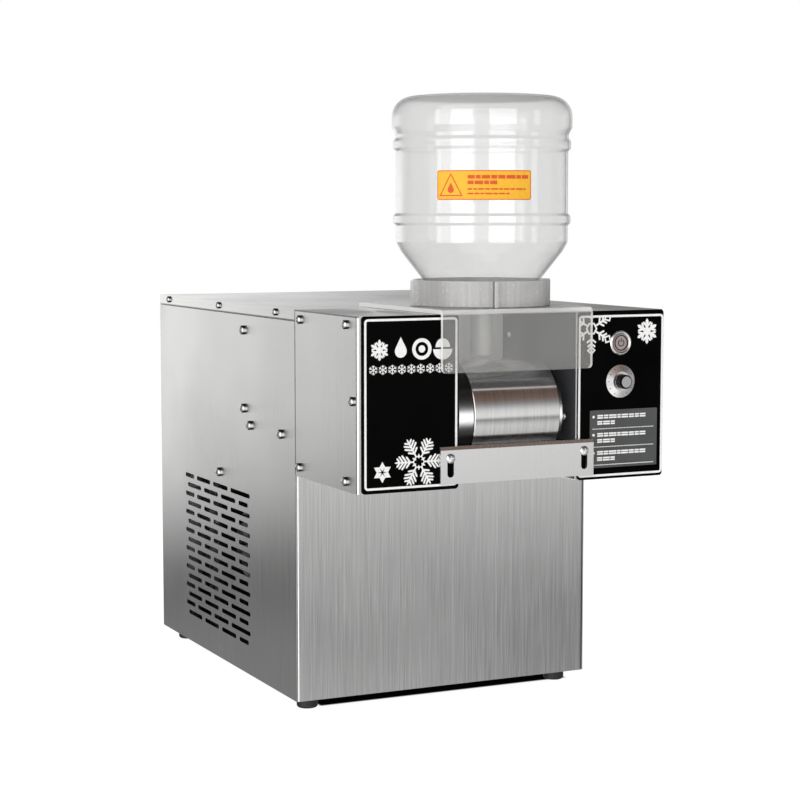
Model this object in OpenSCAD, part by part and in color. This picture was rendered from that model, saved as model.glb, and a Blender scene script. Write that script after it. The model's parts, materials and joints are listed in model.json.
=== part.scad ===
// Counter-top snowflake ice machine: a refrigerated drum freezes a film of liquid from an upturned
// bottle, and a blade under the drum shaves the film off into a bowl.
// Millimetres, +Z up, front towards -Y. The origin is on the ground, under the middle of the whole machine.

/* [Cabinet] */
// Width of the cabinet and of the head
body_w = 290; // [280:1:300]
// Depth of the lower cabinet
body_d = 363; // [355:1:380]
// Height of the sheet casing above its bottom edge
body_h = 344; // [340:1:350]
// Height of the rubber feet
foot_h = 11; // [9:0.5:14]
// Radius of the rubber feet
foot_r = 9.5; // [8:0.5:11]
// Thickness of the casing sheet
sheet_t = 1; // [0.8:0.1:1.2]
// Outside radius of the folded corners
bend_r = 2.5; // [2:0.1:3]
// Height of the lid's folded edge
lid_flange = 9.5; // [8:0.5:12]

/* [Head] */
// How far the head reaches out past the cabinet front
head_reach = 131; // [129:1:134]
// Height of the head's underside above the casing's bottom edge
head_rise = 200; // [196:1:202]
// Width of the left cheek
left_cheek_w = 91; // [88:1:92]
// Width of the right cheek
right_cheek_w = 87; // [85:1:88]
// Thickness of the black fascia panels
fascia_t = 1; // [0.8:0.1:1.2]

/* [Side vents] */
// Number of rows of slots
vent_rows = 16; // [8:2:16]
// Distance from row to row
vent_pitch = 9.2; // [9:0.1:9.4]
// Height of one slot
vent_slot_h = 4.2; // [3.6:0.1:4.6]
// Height of the lowest row's middle line above the casing's bottom edge
vent_low = 29.1; // [26:0.1:32]
// Distance from the cabinet front to the far end of the long rows
vent_far = 288.6; // [284:0.1:292]

/* [Drum] */
// Outside radius of the freezing drum
drum_r = 45; // [44:0.1:45.2]
// Length of the freezing drum
drum_len = 81; // [76:1:82]
// Wall of the drum tube
drum_wall_t = 2; // [1.5:0.1:3]
// Drum axis, behind the head's front face
drum_back = 46; // [46:0.1:48]
// Drum axis, above the casing's bottom edge
drum_rise = 258; // [257:0.1:259]
// Radius of the drum's hollow shaft
shaft_r = 8; // [7:0.1:8.5]

/* [Drive] */
// Gear module
gear_module = 1.25; // [1.25:0.05:1.3]
// Teeth of the drum gear
drum_teeth = 48; // [48:16:48]
// Teeth of the motor pinion
pinion_teeth = 16; // [16:1:16]

/* [Front plate] */
// Length of the adjustable front plate
plate_len = 145.6; // [143:0.1:148]
// Height of the front plate, with its bevel
plate_h = 30.9; // [30:0.1:32]
// Thickness of the front plate
plate_t = 3; // [2.5:0.1:3.2]
// Distance between the plate's two slots
slot_span = 127.2; // [126:0.1:128]

/* [Controls] */
// Radius of the power button's bezel
bezel_r = 10.5; // [10:0.1:11]
// Radius of the power button's cap
button_r = 7.5; // [7:0.1:7.6]
// Radius of the speed knob's skirt
skirt_r = 14.1; // [13:0.1:15]
// How far the knob stands out of the fascia
knob_reach = 11; // [10:0.5:14]

/* [Feed] */
// Width of the clear bracket
guard_w = 141.5; // [138:0.5:144]
// Thickness of the clear bracket
guard_t = 3.5; // [3:0.1:4]
// Outside radius of the bottle collar
collar_r = 59; // [57:0.5:60]
// Height of the bottle collar
collar_h = 22.2; // [20:0.1:24]
// Wall of the collar
collar_t = 3; // [2.5:0.1:4]
// Radius of the bottle's wall
bottle_r = 73.5; // [70:0.5:75]
// Wall of the bottle
bottle_t = 1.5; // [1.2:0.1:2]

/* [Hidden] */

$fn = 64;
eps = 0.01;
reach_past = 2; // how far a cutting tool runs past the face it cuts

// Main planes. The casing and the head share the sides, and the knob and the inlet end the depth.
half_w = body_w / 2;
inlet_reach = 3;
front_y = -(body_d + inlet_reach - head_reach - knob_reach) / 2;
rear_y = front_y + body_d;
face_y = front_y - head_reach;
steel_y = face_y + fascia_t;
base_z = foot_h;
top_z = base_z + body_h;
head_z = base_z + head_rise;
head_h = top_z - head_z;
bay_left = -half_w + left_cheek_w;
bay_right = half_w - right_cheek_w;
lid_edge_z = top_z - lid_flange;
panel_gap = 0.6; // dark seam between the casing's sheets
inner_x = half_w - sheet_t;

// Screws: heads, shanks and the holes that they pass
screw_shank_r = 1.9;
screw_hole_r = 2.0;
body_head_r = 4.2;
head_head_r = 3.75;
lid_head_r = 3.15;
side_rise = 0.95; // the side screws have tall, rounded heads
frame_hole_depth = 8; // deep enough to pass the casing and the frame behind it
// Distances behind the cabinet front and above the casing's bottom edge
body_screw_at = [[124, 320], [123.5, 248], [108, 233.5], [33, 233], [190, 181]];
lid_screw_at = [[45, 340], [189, 340], [334, 340]];
head_screw_at = [[-11, 336], [-108, 336.5], [-121, 275], [-8.5, 208.4], [-107, 208.3]];
rear_screw_at = [[-136, 28], [-136, 176], [-136, 320], [136, 28], [136, 176], [136, 320]];

// Drum and drive
drum_y = face_y + drum_back;
drum_z = base_z + drum_rise;
drum_x = bay_left + 16;
drum_cap_r = drum_r - 1.4;
left_cap_t = 14;
right_cap_t = 3;
wall_t = 1.5;
fit = 0.05; // radial clearance of a running fit
bearing_t = 8;
bearing_r = 20;
hub_r = 13;
gear_t = 8;
gear_x = bay_left - 20;
pressure_angle = 20;
backlash = 0.15;
centre_distance = gear_module * (drum_teeth + pinion_teeth) / 2 + backlash;
pinion_y = drum_y + centre_distance;
motor_shaft_r = 4;
motor_face_x = gear_x - 4.5;
union_x = bay_right + 12;
shaft_seat = 14; // how far the shaft runs into the union

// Front plate
plate_x = (bay_left + bay_right) / 2 - 1.5;
body_gap = 0.3; // free space between pieces that move past each other
label_t = 0.6; // thickness of the instruction plate
plate_y = face_y - label_t - body_gap;
plate_z = base_z + 204.5;
plate_bevel = [1.1, 2.8]; // depth and height
slot_w = 6;
slot_low = 5.5;
slot_high = 24.3;
slot_screw_r = 2.6;
slot_head_r = 4;
slot_screw_z = plate_z + slot_high - slot_w / 2;

// Controls
control_x = half_w - 44;
button_z = base_z + 316.3;
knob_z = base_z + 283.4;
barrel_r = 8.6;
button_bore_r = button_r + 0.08;
knob_shaft_r = 3;
pot_neck_r = 5;

// Feed
bottle_y = face_y + 63;
guard_x = -71.5;
guard_drop = 48;
guard_back = face_y + 160;
guard_front_y = face_y - 6;
guard_z = top_z + body_gap;
guard_bend = 5;
collar_z = guard_z + guard_t;
tube_r = 9.4;
tube_bore_r = 8;
tube_end_z = drum_z + drum_r + 2;
neck_r = 38;
neck_z = collar_z + 0.4;
spout_r = 7;
spout_bore_r = 5;

// Inside the cabinet
fan_x = -20;
fan_z = base_z + 90;
fan_r = 60;
comp_x = -25;
comp_y = front_y + 130;
comp_r = 60;
pan_t = 1.2;
pan_z = base_z + pan_t;
inlet_x = 96;
inlet_z = base_z + 44;
inlet_size = [28, 20]; // the inlet's body, which passes the rear wall
inlet_screw_x = 20; // its two screws, beside its middle
foot_bolt_r = 2.6;
mount_bolt_r = 3;
line_x = 84; // the suction line runs straight back beside the drum's union
line_r = 4;
line_z = drum_z + 7;
line_drop_y = front_y + 60; // where it turns down to the compressor

steel = [0.72, 0.72, 0.71];
dark_steel = [0.45, 0.45, 0.45];
gloss_black = [0.03, 0.03, 0.03];
clear = [0.85, 0.88, 0.9, 0.35];
copper = [0.72, 0.42, 0.26];

// ---- shared shapes ----

// Rectangle with true round corners, from its low corner
module rounded_rect(w, h, r) {
    translate([r, 0]) square([w - 2 * r, h]);
    translate([0, r]) square([w, h - 2 * r]);
    for (x = [r, w - r], y = [r, h - r])
        translate([x, y]) circle(r);
}

// Slot with round ends, centred on its height, starting at its low end
module slot_2d(len, h) {
    translate([h / 2, -h / 2]) square([len - h, h]);
    for (x = [h / 2, len - h / 2])
        translate([x, 0]) circle(h / 2, $fn = 32);
}

// Turns a flat outline in X-Y into one that stands in the Y-Z plane and runs along +X
module along_x(from_x, len) {
    translate([from_x, 0, 0]) rotate([90, 0, 90]) linear_extrude(len) children();
}

// Turns a flat outline in X-Y into one that stands in the X-Z plane and runs along +Y
module along_y(from_y, len) {
    translate([0, from_y + len, 0]) rotate([90, 0, 0]) linear_extrude(len) children();
}

module box(low, high) {
    translate(low) cube(high - low);
}

module rod_x(from_x, to_x, y, z, r) {
    translate([from_x, y, z]) rotate([0, 90, 0]) cylinder(h = to_x - from_x, r = r);
}

module rod_y(from_y, to_y, x, z, r) {
    translate([x, from_y, z]) rotate([-90, 0, 0]) cylinder(h = to_y - from_y, r = r);
}

// Pan-head screw at the origin: the head stands on z = 0 and the shank runs down.
// rise is the height of the head over its radius.
module pan_screw(head_r, shank_r, shank_len, rise = 0.5) {
    head_t = head_r * rise;
    dome_r = head_r * 1.35;
    recess = head_r * 0.24;
    difference() {
        union() {
            intersection() {
                cylinder(h = head_t, r = head_r, $fn = 40);
                translate([0, 0, head_t - dome_r]) sphere(dome_r, $fn = 40);
            }
            translate([0, 0, -shank_len]) cylinder(h = shank_len + head_t / 2, r = shank_r, $fn = 24);
        }
        for (a = [0, 90])
            rotate(a) translate([-head_r * 0.6, -recess / 2, head_t * 0.45])
                cube([head_r * 1.2, recess, head_t]);
    }
}

// Places its children once at each side screw, pointing out of the side: side is -1 or 1
module at_side(spots, side) {
    for (s = spots)
        translate([side * half_w, front_y + s[0], base_z + s[1]]) rotate([0, side * 90, 0]) children();
}

module side_holes(spots, side, depth) {
    at_side(spots, side) translate([0, 0, -depth])
        cylinder(h = depth + reach_past, r = screw_hole_r, $fn = 24);
}

// Tube through a list of points, with round elbows
module pipe(points, r) {
    for (i = [0 : len(points) - 2]) {
        d = points[i + 1] - points[i];
        length = norm(d);
        translate(points[i])
            rotate([0, acos(d[2] / length), atan2(d[1], d[0])])
                cylinder(h = length, r = r, $fn = 24);
    }
    for (i = [1 : 1 : len(points) - 2])
        translate(points[i]) sphere(r, $fn = 24);
}

// Involute gear outline: one tooth points along +X
function involute(a) = tan(a) * 180 / PI - a;
function tooth_half(r, teeth) =
    let (pitch_r = gear_module * teeth / 2, base_r = pitch_r * cos(pressure_angle))
    90 / teeth - backlash * 20 / pitch_r + involute(pressure_angle)
        - (r > base_r ? involute(acos(base_r / r)) : 0);
function tooth_radii(teeth) =
    let (pitch_r = gear_module * teeth / 2)
    [pitch_r - 1.25 * gear_module, pitch_r - 0.5 * gear_module, pitch_r,
        pitch_r + 0.5 * gear_module, pitch_r + gear_module];
function gear_outline(teeth) = [
    for (i = [0 : teeth - 1], side = [-1, 1], k = [0 : 4])
        let (
            radii = tooth_radii(teeth),
            r = side < 0 ? radii[k] : radii[4 - k],
            a = 360 * i / teeth + side * tooth_half(r, teeth)
        )
        r * [cos(a), sin(a)]
];

// ---- casing ----

module base_pan() {
    edge_y = front_y + sheet_t;
    flange_h = 15;
    post_room = 16;
    color(dark_steel) difference() {
        union() {
            box([-inner_x + sheet_t, edge_y, base_z], [inner_x - sheet_t, rear_y - sheet_t, pan_z]);
            for (x = [-inner_x, inner_x - pan_t])
                box([x, edge_y + post_room, base_z],
                    [x + pan_t, rear_y - sheet_t - post_room, base_z + flange_h]);
        }
        for (p = foot_spots)
            translate([p[0], p[1], base_z - eps]) cylinder(h = 3 * pan_t, r = foot_bolt_r);
        for (p = mount_spots)
            translate([p[0], p[1], base_z - eps]) cylinder(h = 3 * pan_t, r = mount_bolt_r + 0.2);
    }
}

// Four folded posts, joined by rails round the top and a rail across each side
module inner_frame() {
    post_w = 14;
    post_t = 1.5;
    post_x = inner_x - sheet_t;
    low_y = front_y + sheet_t;
    high_y = rear_y - sheet_t;
    post_top = top_z - sheet_t;
    rail_h = 16;
    side_rail = [174, 188]; // bottom and top of the rail across each side
    color(dark_steel) difference() {
        union() {
            for (sx = [-1, 1], sy = [-1, 1]) {
                corner_y = sy < 0 ? low_y : high_y;
                mirror([sx < 0 ? 1 : 0, 0, 0]) {
                    box([post_x - post_t, min(corner_y, corner_y - sy * post_w), pan_z],
                        [post_x, max(corner_y, corner_y - sy * post_w), post_top]);
                    box([post_x - post_w, min(corner_y, corner_y - sy * post_t), pan_z],
                        [post_x, max(corner_y, corner_y - sy * post_t), post_top]);
                }
            }
            for (sx = [0, 1]) mirror([sx, 0, 0]) {
                box([post_x - post_t, low_y, post_top - rail_h], [post_x, high_y, post_top]);
                box([post_x - post_t, low_y, base_z + side_rail[0]],
                    [post_x, high_y, base_z + side_rail[1]]);
            }
            for (y = [low_y, high_y - post_t])
                box([-post_x, y, post_top - rail_h], [post_x, y + post_t, post_top]);
        }
        for (side = [-1, 1]) {
            side_holes(lid_screw_at, side, frame_hole_depth);
            side_holes([body_screw_at[4]], side, frame_hole_depth);
        }
        rear_holes(frame_hole_depth);
    }
}

// Sum of a list's first n values
function sum_to(values, n) = n == 0 ? 0 : values[n - 1] + sum_to(values, n - 1);

// One row of side slots: lengths from the far end, with the gap between them
module vent_row(lengths, gap, start) {
    for (i = [0 : len(lengths) - 1])
        translate([front_y + vent_far - start - sum_to(lengths, i + 1) - i * gap, 0])
            slot_2d(lengths[i], vent_slot_h);
}

module side_vents() {
    for (row = [0 : vent_rows - 1])
        translate([0, base_z + vent_low + row * vent_pitch])
            if (row % 2 == 1)
                vent_row([25, 38.5, 39.5, 50], 8, 0);
            else
                vent_row([38, 38.4, 38.3, 23.8], 9, 6.6);
}

// side is -1 for the left panel, 1 for the right
module side_panel(side) {
    color(steel) difference() {
        along_x(side < 0 ? -half_w : inner_x, sheet_t) difference() {
            translate([front_y + panel_gap, base_z])
                square([body_d - panel_gap, body_h - lid_flange - panel_gap]);
            side_vents();
        }
        side_holes(body_screw_at, side, 2 * sheet_t);
    }
}

module left_side_panel() { side_panel(-1); }

module right_side_panel() { side_panel(1); }

// Front wall of the cabinet under the head, folded back at both sides
module front_panel() {
    return_len = 12;
    color(steel) translate([0, 0, base_z]) linear_extrude(head_rise) difference() {
        union() {
            translate([-inner_x, front_y + bend_r]) square([2 * inner_x, return_len - bend_r]);
            translate([-inner_x + bend_r, front_y]) square([2 * (inner_x - bend_r), return_len]);
            for (x = [-inner_x + bend_r, inner_x - bend_r])
                translate([x, front_y + bend_r]) circle(bend_r);
        }
        translate([-inner_x + sheet_t, front_y + sheet_t])
            square([2 * (inner_x - sheet_t), return_len]);
    }
}

module rear_holes(depth) {
    for (p = rear_screw_at)
        rod_y(rear_y - depth, rear_y + reach_past, p[0], base_z + p[1], screw_hole_r, $fn = 24);
}

inlet_hole_r = 1.8;

// Rear wall, with air slots behind the condenser and a cut-out for the power inlet
module rear_panel() {
    return_len = 12;
    slot_rows = 14;
    slot_cols = 3;
    slot_size = [34, 4.6];
    slot_step = [42, 9.6];
    slot_low = 28;
    inlet_fit = 0.2;
    wall_h = body_h - lid_flange - panel_gap / 2;
    color(steel) difference() {
        translate([0, 0, base_z]) linear_extrude(wall_h) difference() {
            translate([-inner_x, rear_y - return_len]) square([2 * inner_x, return_len]);
            translate([-inner_x + sheet_t, rear_y - return_len - sheet_t])
                square([2 * (inner_x - sheet_t), return_len]);
        }
        along_y(rear_y - reach_past * 2, reach_past * 3)
            for (row = [0 : slot_rows - 1], col = [0 : slot_cols - 1])
                translate([fan_x + (col - slot_cols / 2 + 0.5) * slot_step[0] - slot_size[0] / 2,
                    base_z + slot_low + row * slot_step[1]]) slot_2d(slot_size[0], slot_size[1]);
        box([inlet_x - inlet_size[0] / 2 - inlet_fit, rear_y - 3, inlet_z - inlet_size[1] / 2 - inlet_fit],
            [inlet_x + inlet_size[0] / 2 + inlet_fit, rear_y + 1, inlet_z + inlet_size[1] / 2 + inlet_fit]);
        for (side = [-1, 1])
            rod_y(rear_y - 3, rear_y + 1, inlet_x + side * inlet_screw_x, inlet_z, inlet_hole_r, $fn = 24);
        rear_holes(3);
    }
}

module top_cover() {
    color(steel) difference() {
        box([-half_w, front_y, lid_edge_z], [half_w, rear_y, top_z]);
        box([-inner_x, front_y - 1, lid_edge_z - 1], [inner_x, rear_y - sheet_t, top_z - sheet_t]);
        for (side = [-1, 1])
            side_holes(lid_screw_at, side, 2 * sheet_t);
    }
}

// Wall between the head and the cabinet, with openings for the tubes and wires of both cheeks
module head_back_plate() {
    tube_hole_r = 12;
    wire_hole_r = 10;
    motor_wire_x = -100;
    color(steel) difference() {
        box([-inner_x, front_y, head_z], [inner_x, front_y + sheet_t, top_z - sheet_t]);
        for (x = [motor_wire_x, line_x])
            rod_y(front_y - 1, front_y + 3, x, line_z, tube_hole_r);
        rod_y(front_y - 1, front_y + 3, line_x, line_z + 33, wire_hole_r);
    }
}

// Folded cover of one cheek, drawn for the right side: open to the bay and to the cabinet
module head_cover(cheek_w) {
    corner_r = 3;
    difference() {
        translate([0, 0, head_z]) linear_extrude(head_h) {
            translate([half_w - cheek_w, steel_y]) square([cheek_w - bend_r, front_y - steel_y]);
            translate([half_w - bend_r, steel_y + bend_r]) square([bend_r, front_y - steel_y - bend_r]);
            translate([half_w - bend_r, steel_y + bend_r]) circle(bend_r);
        }
        box([half_w - cheek_w - 1, steel_y + sheet_t, head_z + sheet_t],
            [inner_x, front_y + 1, top_z - sheet_t]);
        difference() {
            box([inner_x - eps, front_y - corner_r, head_z - 1],
                [half_w + 1, front_y + 1, head_z + corner_r]);
            rod_x(inner_x - 1, half_w + 2, front_y - corner_r, head_z + corner_r, corner_r);
        }
        side_holes(head_screw_at, 1, 2 * sheet_t);
    }
}

// Hole through a cheek's fascia and steel front, at a height
module front_hole(x, z, r) {
    rod_y(face_y - 1, steel_y + 3, x, z, r);
}

module slot_screw_hole(x) {
    front_hole(x, slot_screw_z, slot_screw_r + 0.1);
}

module control_holes() {
    front_hole(control_x, button_z, barrel_r + 0.1);
    front_hole(control_x, knob_z, pot_neck_r + 0.1);
}

module left_head_cover() {
    color(steel) difference() {
        mirror([1, 0, 0]) head_cover(left_cheek_w);
        slot_screw_hole(plate_x - slot_span / 2);
    }
}

module right_head_cover() {
    color(steel) difference() {
        head_cover(right_cheek_w);
        slot_screw_hole(plate_x + slot_span / 2);
        control_holes();
    }
}

// Black wall that closes one cheek towards the drum
module drum_wall(from_x) {
    difference() {
        box([from_x, steel_y + sheet_t, head_z + sheet_t], [from_x + wall_t, front_y, top_z - sheet_t]);
        rod_x(from_x - 1, from_x + wall_t + 1, drum_y, drum_z, hub_r + 0.1);
        for (p = wall_screw_spots)
            rod_x(from_x - 1, from_x + wall_t + 1, p[0], p[1], wall_screw_r + 0.1, $fn = 24);
    }
}

module left_drum_wall() {
    color(gloss_black) drum_wall(bay_left - wall_t);
}

module right_drum_wall() {
    color(gloss_black) drum_wall(bay_right);
}

// Black plate on a cheek's front, from one side to the other
module fascia_plate(low_x, high_x) {
    corner_r = 3;
    along_y(face_y, fascia_t) translate([low_x, head_z]) rounded_rect(high_x - low_x, head_h, corner_r);
}

module left_fascia() {
    margin = 3.6; // bare steel beside the folded corner
    color(gloss_black) difference() {
        fascia_plate(-half_w + margin, bay_left);
        slot_screw_hole(plate_x - slot_span / 2);
    }
}

module right_fascia() {
    steel_strip = 1.6; // bare edge beside the bay
    margin = 0.4;
    color(gloss_black) difference() {
        fascia_plate(bay_right + steel_strip, half_w - margin);
        slot_screw_hole(plate_x + slot_span / 2);
        control_holes();
    }
}

// Grey plate with the operating steps
module instruction_plate() {
    plate_low = [71.5, 209.7];
    plate_size = [67.1, 49.5];
    color([0.32, 0.33, 0.33]) along_y(face_y - label_t, label_t)
        translate([plate_low[0], base_z + plate_low[1]]) rounded_rect(plate_size[0], plate_size[1], 0.8);
}

// ---- feet ----

foot_inset = [19, 22];
foot_spots = [for (x = [-1, 1], y = [0, 1])
    [x * (half_w - foot_inset[0]), y == 0 ? front_y + foot_inset[1] : rear_y - foot_inset[1]]];

module foot(i) {
    edge_r = 2.5;
    color([0.07, 0.07, 0.07]) translate([foot_spots[i][0], foot_spots[i][1], 0]) rotate_extrude()
        difference() {
            union() {
                translate([0, edge_r]) square([foot_r, foot_h - edge_r]);
                square([foot_r - edge_r, foot_h]);
                translate([foot_r - edge_r, edge_r]) circle(edge_r, $fn = 32);
            }
            translate([-foot_r, -1]) square([foot_r, foot_h + 2]);
            translate([0, -1]) square([4.5, 5]);
            translate([0, 3]) square([foot_bolt_r, foot_h]);
        }
}

module foot_front_left() { foot(0); }

module foot_rear_left() { foot(1); }

module foot_front_right() { foot(2); }

module foot_rear_right() { foot(3); }

// ---- screw groups ----

module casing_screws() {
    color([0.8, 0.8, 0.8]) for (side = [-1, 1]) {
        at_side(body_screw_at, side) pan_screw(body_head_r, screw_shank_r, 6, side_rise);
        at_side(lid_screw_at, side) pan_screw(lid_head_r, screw_shank_r, 6, side_rise);
    }
}

module head_screws() {
    color([0.8, 0.8, 0.8]) for (side = [-1, 1])
        at_side(head_screw_at, side) pan_screw(head_head_r, screw_shank_r, 5, side_rise);
}

module rear_screws() {
    color([0.8, 0.8, 0.8]) for (p = rear_screw_at)
        translate([p[0], rear_y, base_z + p[1]]) rotate([-90, 0, 0])
            pan_screw(head_head_r, screw_shank_r, 6);
}

wall_screw_spots = [
    [face_y + 20.4, base_z + 253],
    [front_y - 12, base_z + 238],
    [front_y - 12, base_z + 318]
];

wall_screw_r = 1.3;

module drum_wall_screws() {
    color([0.8, 0.8, 0.8]) for (p = wall_screw_spots) {
        translate([bay_left, p[0], p[1]]) rotate([0, 90, 0]) pan_screw(2 * wall_screw_r, wall_screw_r, 5);
        translate([bay_right, p[0], p[1]]) rotate([0, -90, 0]) pan_screw(2 * wall_screw_r, wall_screw_r, 5);
    }
}

// ---- drum and drive ----

// Flanged bearing on the cheek side of a drum wall; the hub fills the wall's hole
module bearing(wall_x, side) {
    low_x = side < 0 ? wall_x - bearing_t : wall_x;
    difference() {
        union() {
            rod_x(low_x, low_x + bearing_t, drum_y, drum_z, bearing_r);
            rod_x(side < 0 ? wall_x : wall_x - wall_t, side < 0 ? wall_x + wall_t : wall_x,
                drum_y, drum_z, hub_r);
        }
        rod_x(low_x - 5, low_x + bearing_t + 5, drum_y, drum_z, shaft_r + fit);
    }
}

module left_bearing() {
    color(dark_steel) bearing(bay_left - wall_t, -1);
}

module right_bearing() {
    color(dark_steel) bearing(bay_right + wall_t, 1);
}

module drum_shell() {
    rim = 0.4;
    color([0.8, 0.79, 0.78]) translate([drum_x, drum_y, drum_z]) rotate([0, 90, 0]) difference() {
        union() {
            translate([0, 0, rim]) cylinder(h = drum_len - 2 * rim, r = drum_r, $fn = 128);
            cylinder(h = rim, r1 = drum_r - rim, r2 = drum_r, $fn = 128);
            translate([0, 0, drum_len - rim]) cylinder(h = rim, r1 = drum_r, r2 = drum_r - rim, $fn = 128);
        }
        translate([0, 0, -1]) cylinder(h = drum_len + 2, r = drum_r - drum_wall_t, $fn = 128);
    }
}

module drum_cap(from_x, thickness) {
    difference() {
        rod_x(from_x, from_x + thickness, drum_y, drum_z, drum_cap_r, $fn = 128);
        rod_x(from_x - 1, from_x + thickness + 1, drum_y, drum_z, shaft_r + fit);
    }
}

module drum_left_cap() {
    color(gloss_black) drum_cap(drum_x - left_cap_t, left_cap_t);
}

module drum_right_cap() {
    color(gloss_black) drum_cap(drum_x + drum_len, right_cap_t);
}

// Hollow shaft: the refrigerant goes in and comes back through it
module drum_shaft() {
    shaft_wall = 3.5;
    color([0.65, 0.65, 0.66]) difference() {
        rod_x(gear_x - 2, union_x + shaft_seat, drum_y, drum_z, shaft_r);
        rod_x(0, union_x + shaft_seat + 1, drum_y, drum_z, shaft_r - shaft_wall);
    }
}

module drum_gear() {
    color([0.85, 0.83, 0.75]) difference() {
        translate([gear_x, drum_y, drum_z]) rotate([90, 0, 90])
            linear_extrude(gear_t) polygon(gear_outline(drum_teeth));
        rod_x(gear_x - 1, gear_x + gear_t + 1, drum_y, drum_z, shaft_r + fit);
    }
}

// Pinion with its motor shaft; half a tooth round, so that a gap faces the drum gear's tooth
module motor_pinion() {
    color([0.6, 0.6, 0.6]) {
        translate([gear_x - 1, pinion_y, drum_z]) rotate([90, 0, 90]) rotate(180 / pinion_teeth)
            linear_extrude(gear_t + 2) polygon(gear_outline(pinion_teeth));
        rod_x(motor_face_x - 9, gear_x, pinion_y, drum_z, motor_shaft_r);
    }
}

module gear_motor() {
    gearbox_r = 22;
    can_r = 18;
    gearbox_x = motor_face_x - 26;
    color([0.5, 0.5, 0.52]) difference() {
        union() {
            rod_x(gearbox_x, motor_face_x - wall_t, pinion_y, drum_z, gearbox_r);
            rod_x(-inner_x + 4, gearbox_x, pinion_y, drum_z, can_r);
        }
        rod_x(motor_face_x - 11, motor_face_x + 1, pinion_y, drum_z, motor_shaft_r + fit);
    }
}

module motor_bracket() {
    foot_depth = 24;
    half_d = 26;
    low = head_z + sheet_t;
    color(dark_steel) difference() {
        union() {
            box([motor_face_x - wall_t, pinion_y - half_d, low],
                [motor_face_x, pinion_y + half_d, drum_z + half_d]);
            box([motor_face_x - foot_depth, pinion_y - half_d, low],
                [motor_face_x, pinion_y + half_d, low + wall_t]);
        }
        rod_x(motor_face_x - 3, motor_face_x + 1, pinion_y, drum_z, motor_shaft_r + 2);
    }
}

// Brass block that feeds the turning shaft from the standing tubes
module rotary_union() {
    union_r = 16;
    union_len = 28;
    stem = [12, 12];
    color([0.75, 0.6, 0.3]) difference() {
        union() {
            rod_x(union_x, union_x + union_len, drum_y, drum_z, union_r);
            box([union_x + (union_len - stem[0]) / 2, drum_y - stem[1] / 2, head_z + sheet_t],
                [union_x + (union_len + stem[0]) / 2, drum_y + stem[1] / 2, drum_z]);
        }
        rod_x(union_x - 1, union_x + shaft_seat + 2, drum_y, drum_z, shaft_r + fit);
    }
}

// ---- shaving ----

blade_z = base_z + 222.5; // underside of the blade
blade_t = 1.5;
blade_d = 15.5; // from its edge forwards to its root
blade_gap = 0.5; // between the edge and the drum
blade_screws = [drum_x + 12, drum_x + drum_len / 2, drum_x + drum_len - 12];
blade_screw_y = 4.5; // the screws, behind the blade's root
blade_screw_r = 1.5;

// How far in front of its axis the drum's surface lies at a given height
function drum_front(z) = sqrt(drum_r * drum_r - (drum_z - z) * (drum_z - z));

blade_root_y = drum_y - drum_front(blade_z) - blade_gap - blade_d;

// Ground blade: it lies level, and its lower edge stands just off the rising side of the drum
module scraper_blade() {
    edge_bevel = 3;
    side_gap = 1.5;
    color([0.78, 0.78, 0.78]) difference() {
        along_x(drum_x + side_gap, drum_len - 2 * side_gap) polygon([
            [blade_root_y + blade_d, blade_z],
            [blade_root_y + blade_d - edge_bevel, blade_z + blade_t],
            [blade_root_y, blade_z + blade_t],
            [blade_root_y, blade_z]
        ]);
        for (x = blade_screws)
            translate([x, blade_root_y + blade_screw_y, blade_z - 1])
                cylinder(h = blade_t + 2, r = blade_screw_r + 0.1, $fn = 24);
    }
}

// Bar across the bay that carries the blade, with the screws that hold the blade down
module blade_holder() {
    bar = [8.5, 10];
    head_size = [2.8, 1.6];
    color(dark_steel) {
        along_x(bay_left, bay_right - bay_left)
            translate([blade_root_y, blade_z - bar[1]]) square(bar);
        for (x = blade_screws)
            translate([x, blade_root_y + blade_screw_y, blade_z]) {
                translate([0, 0, -1]) cylinder(h = blade_t + 1.5, r = blade_screw_r, $fn = 24);
                translate([0, 0, blade_t]) cylinder(h = head_size[1], r = head_size[0], $fn = 24);
            }
    }
}

// Bevelled plate over the blade, hung on two screws by its slots
module scraper_plate() {
    color(steel) difference() {
        along_x(plate_x - plate_len / 2, plate_len) polygon([
            [plate_y, plate_z],
            [plate_y, plate_z + plate_h],
            [plate_y - plate_t + plate_bevel[0], plate_z + plate_h],
            [plate_y - plate_t, plate_z + plate_h - plate_bevel[1]],
            [plate_y - plate_t, plate_z]
        ]);
        for (side = [-1, 1])
            along_y(plate_y - plate_t - 1, plate_t + 2)
                translate([plate_x + side * slot_span / 2, plate_z + slot_low]) rotate(90)
                    slot_2d(slot_high - slot_low, slot_w);
    }
}

module scraper_screws() {
    color([0.8, 0.8, 0.8]) for (side = [-1, 1])
        translate([plate_x + side * slot_span / 2, plate_y - plate_t - body_gap, slot_screw_z])
            rotate([90, 0, 0]) pan_screw(slot_head_r, slot_screw_r, plate_t + 8);
}

// ---- inside the cabinet ----

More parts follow.
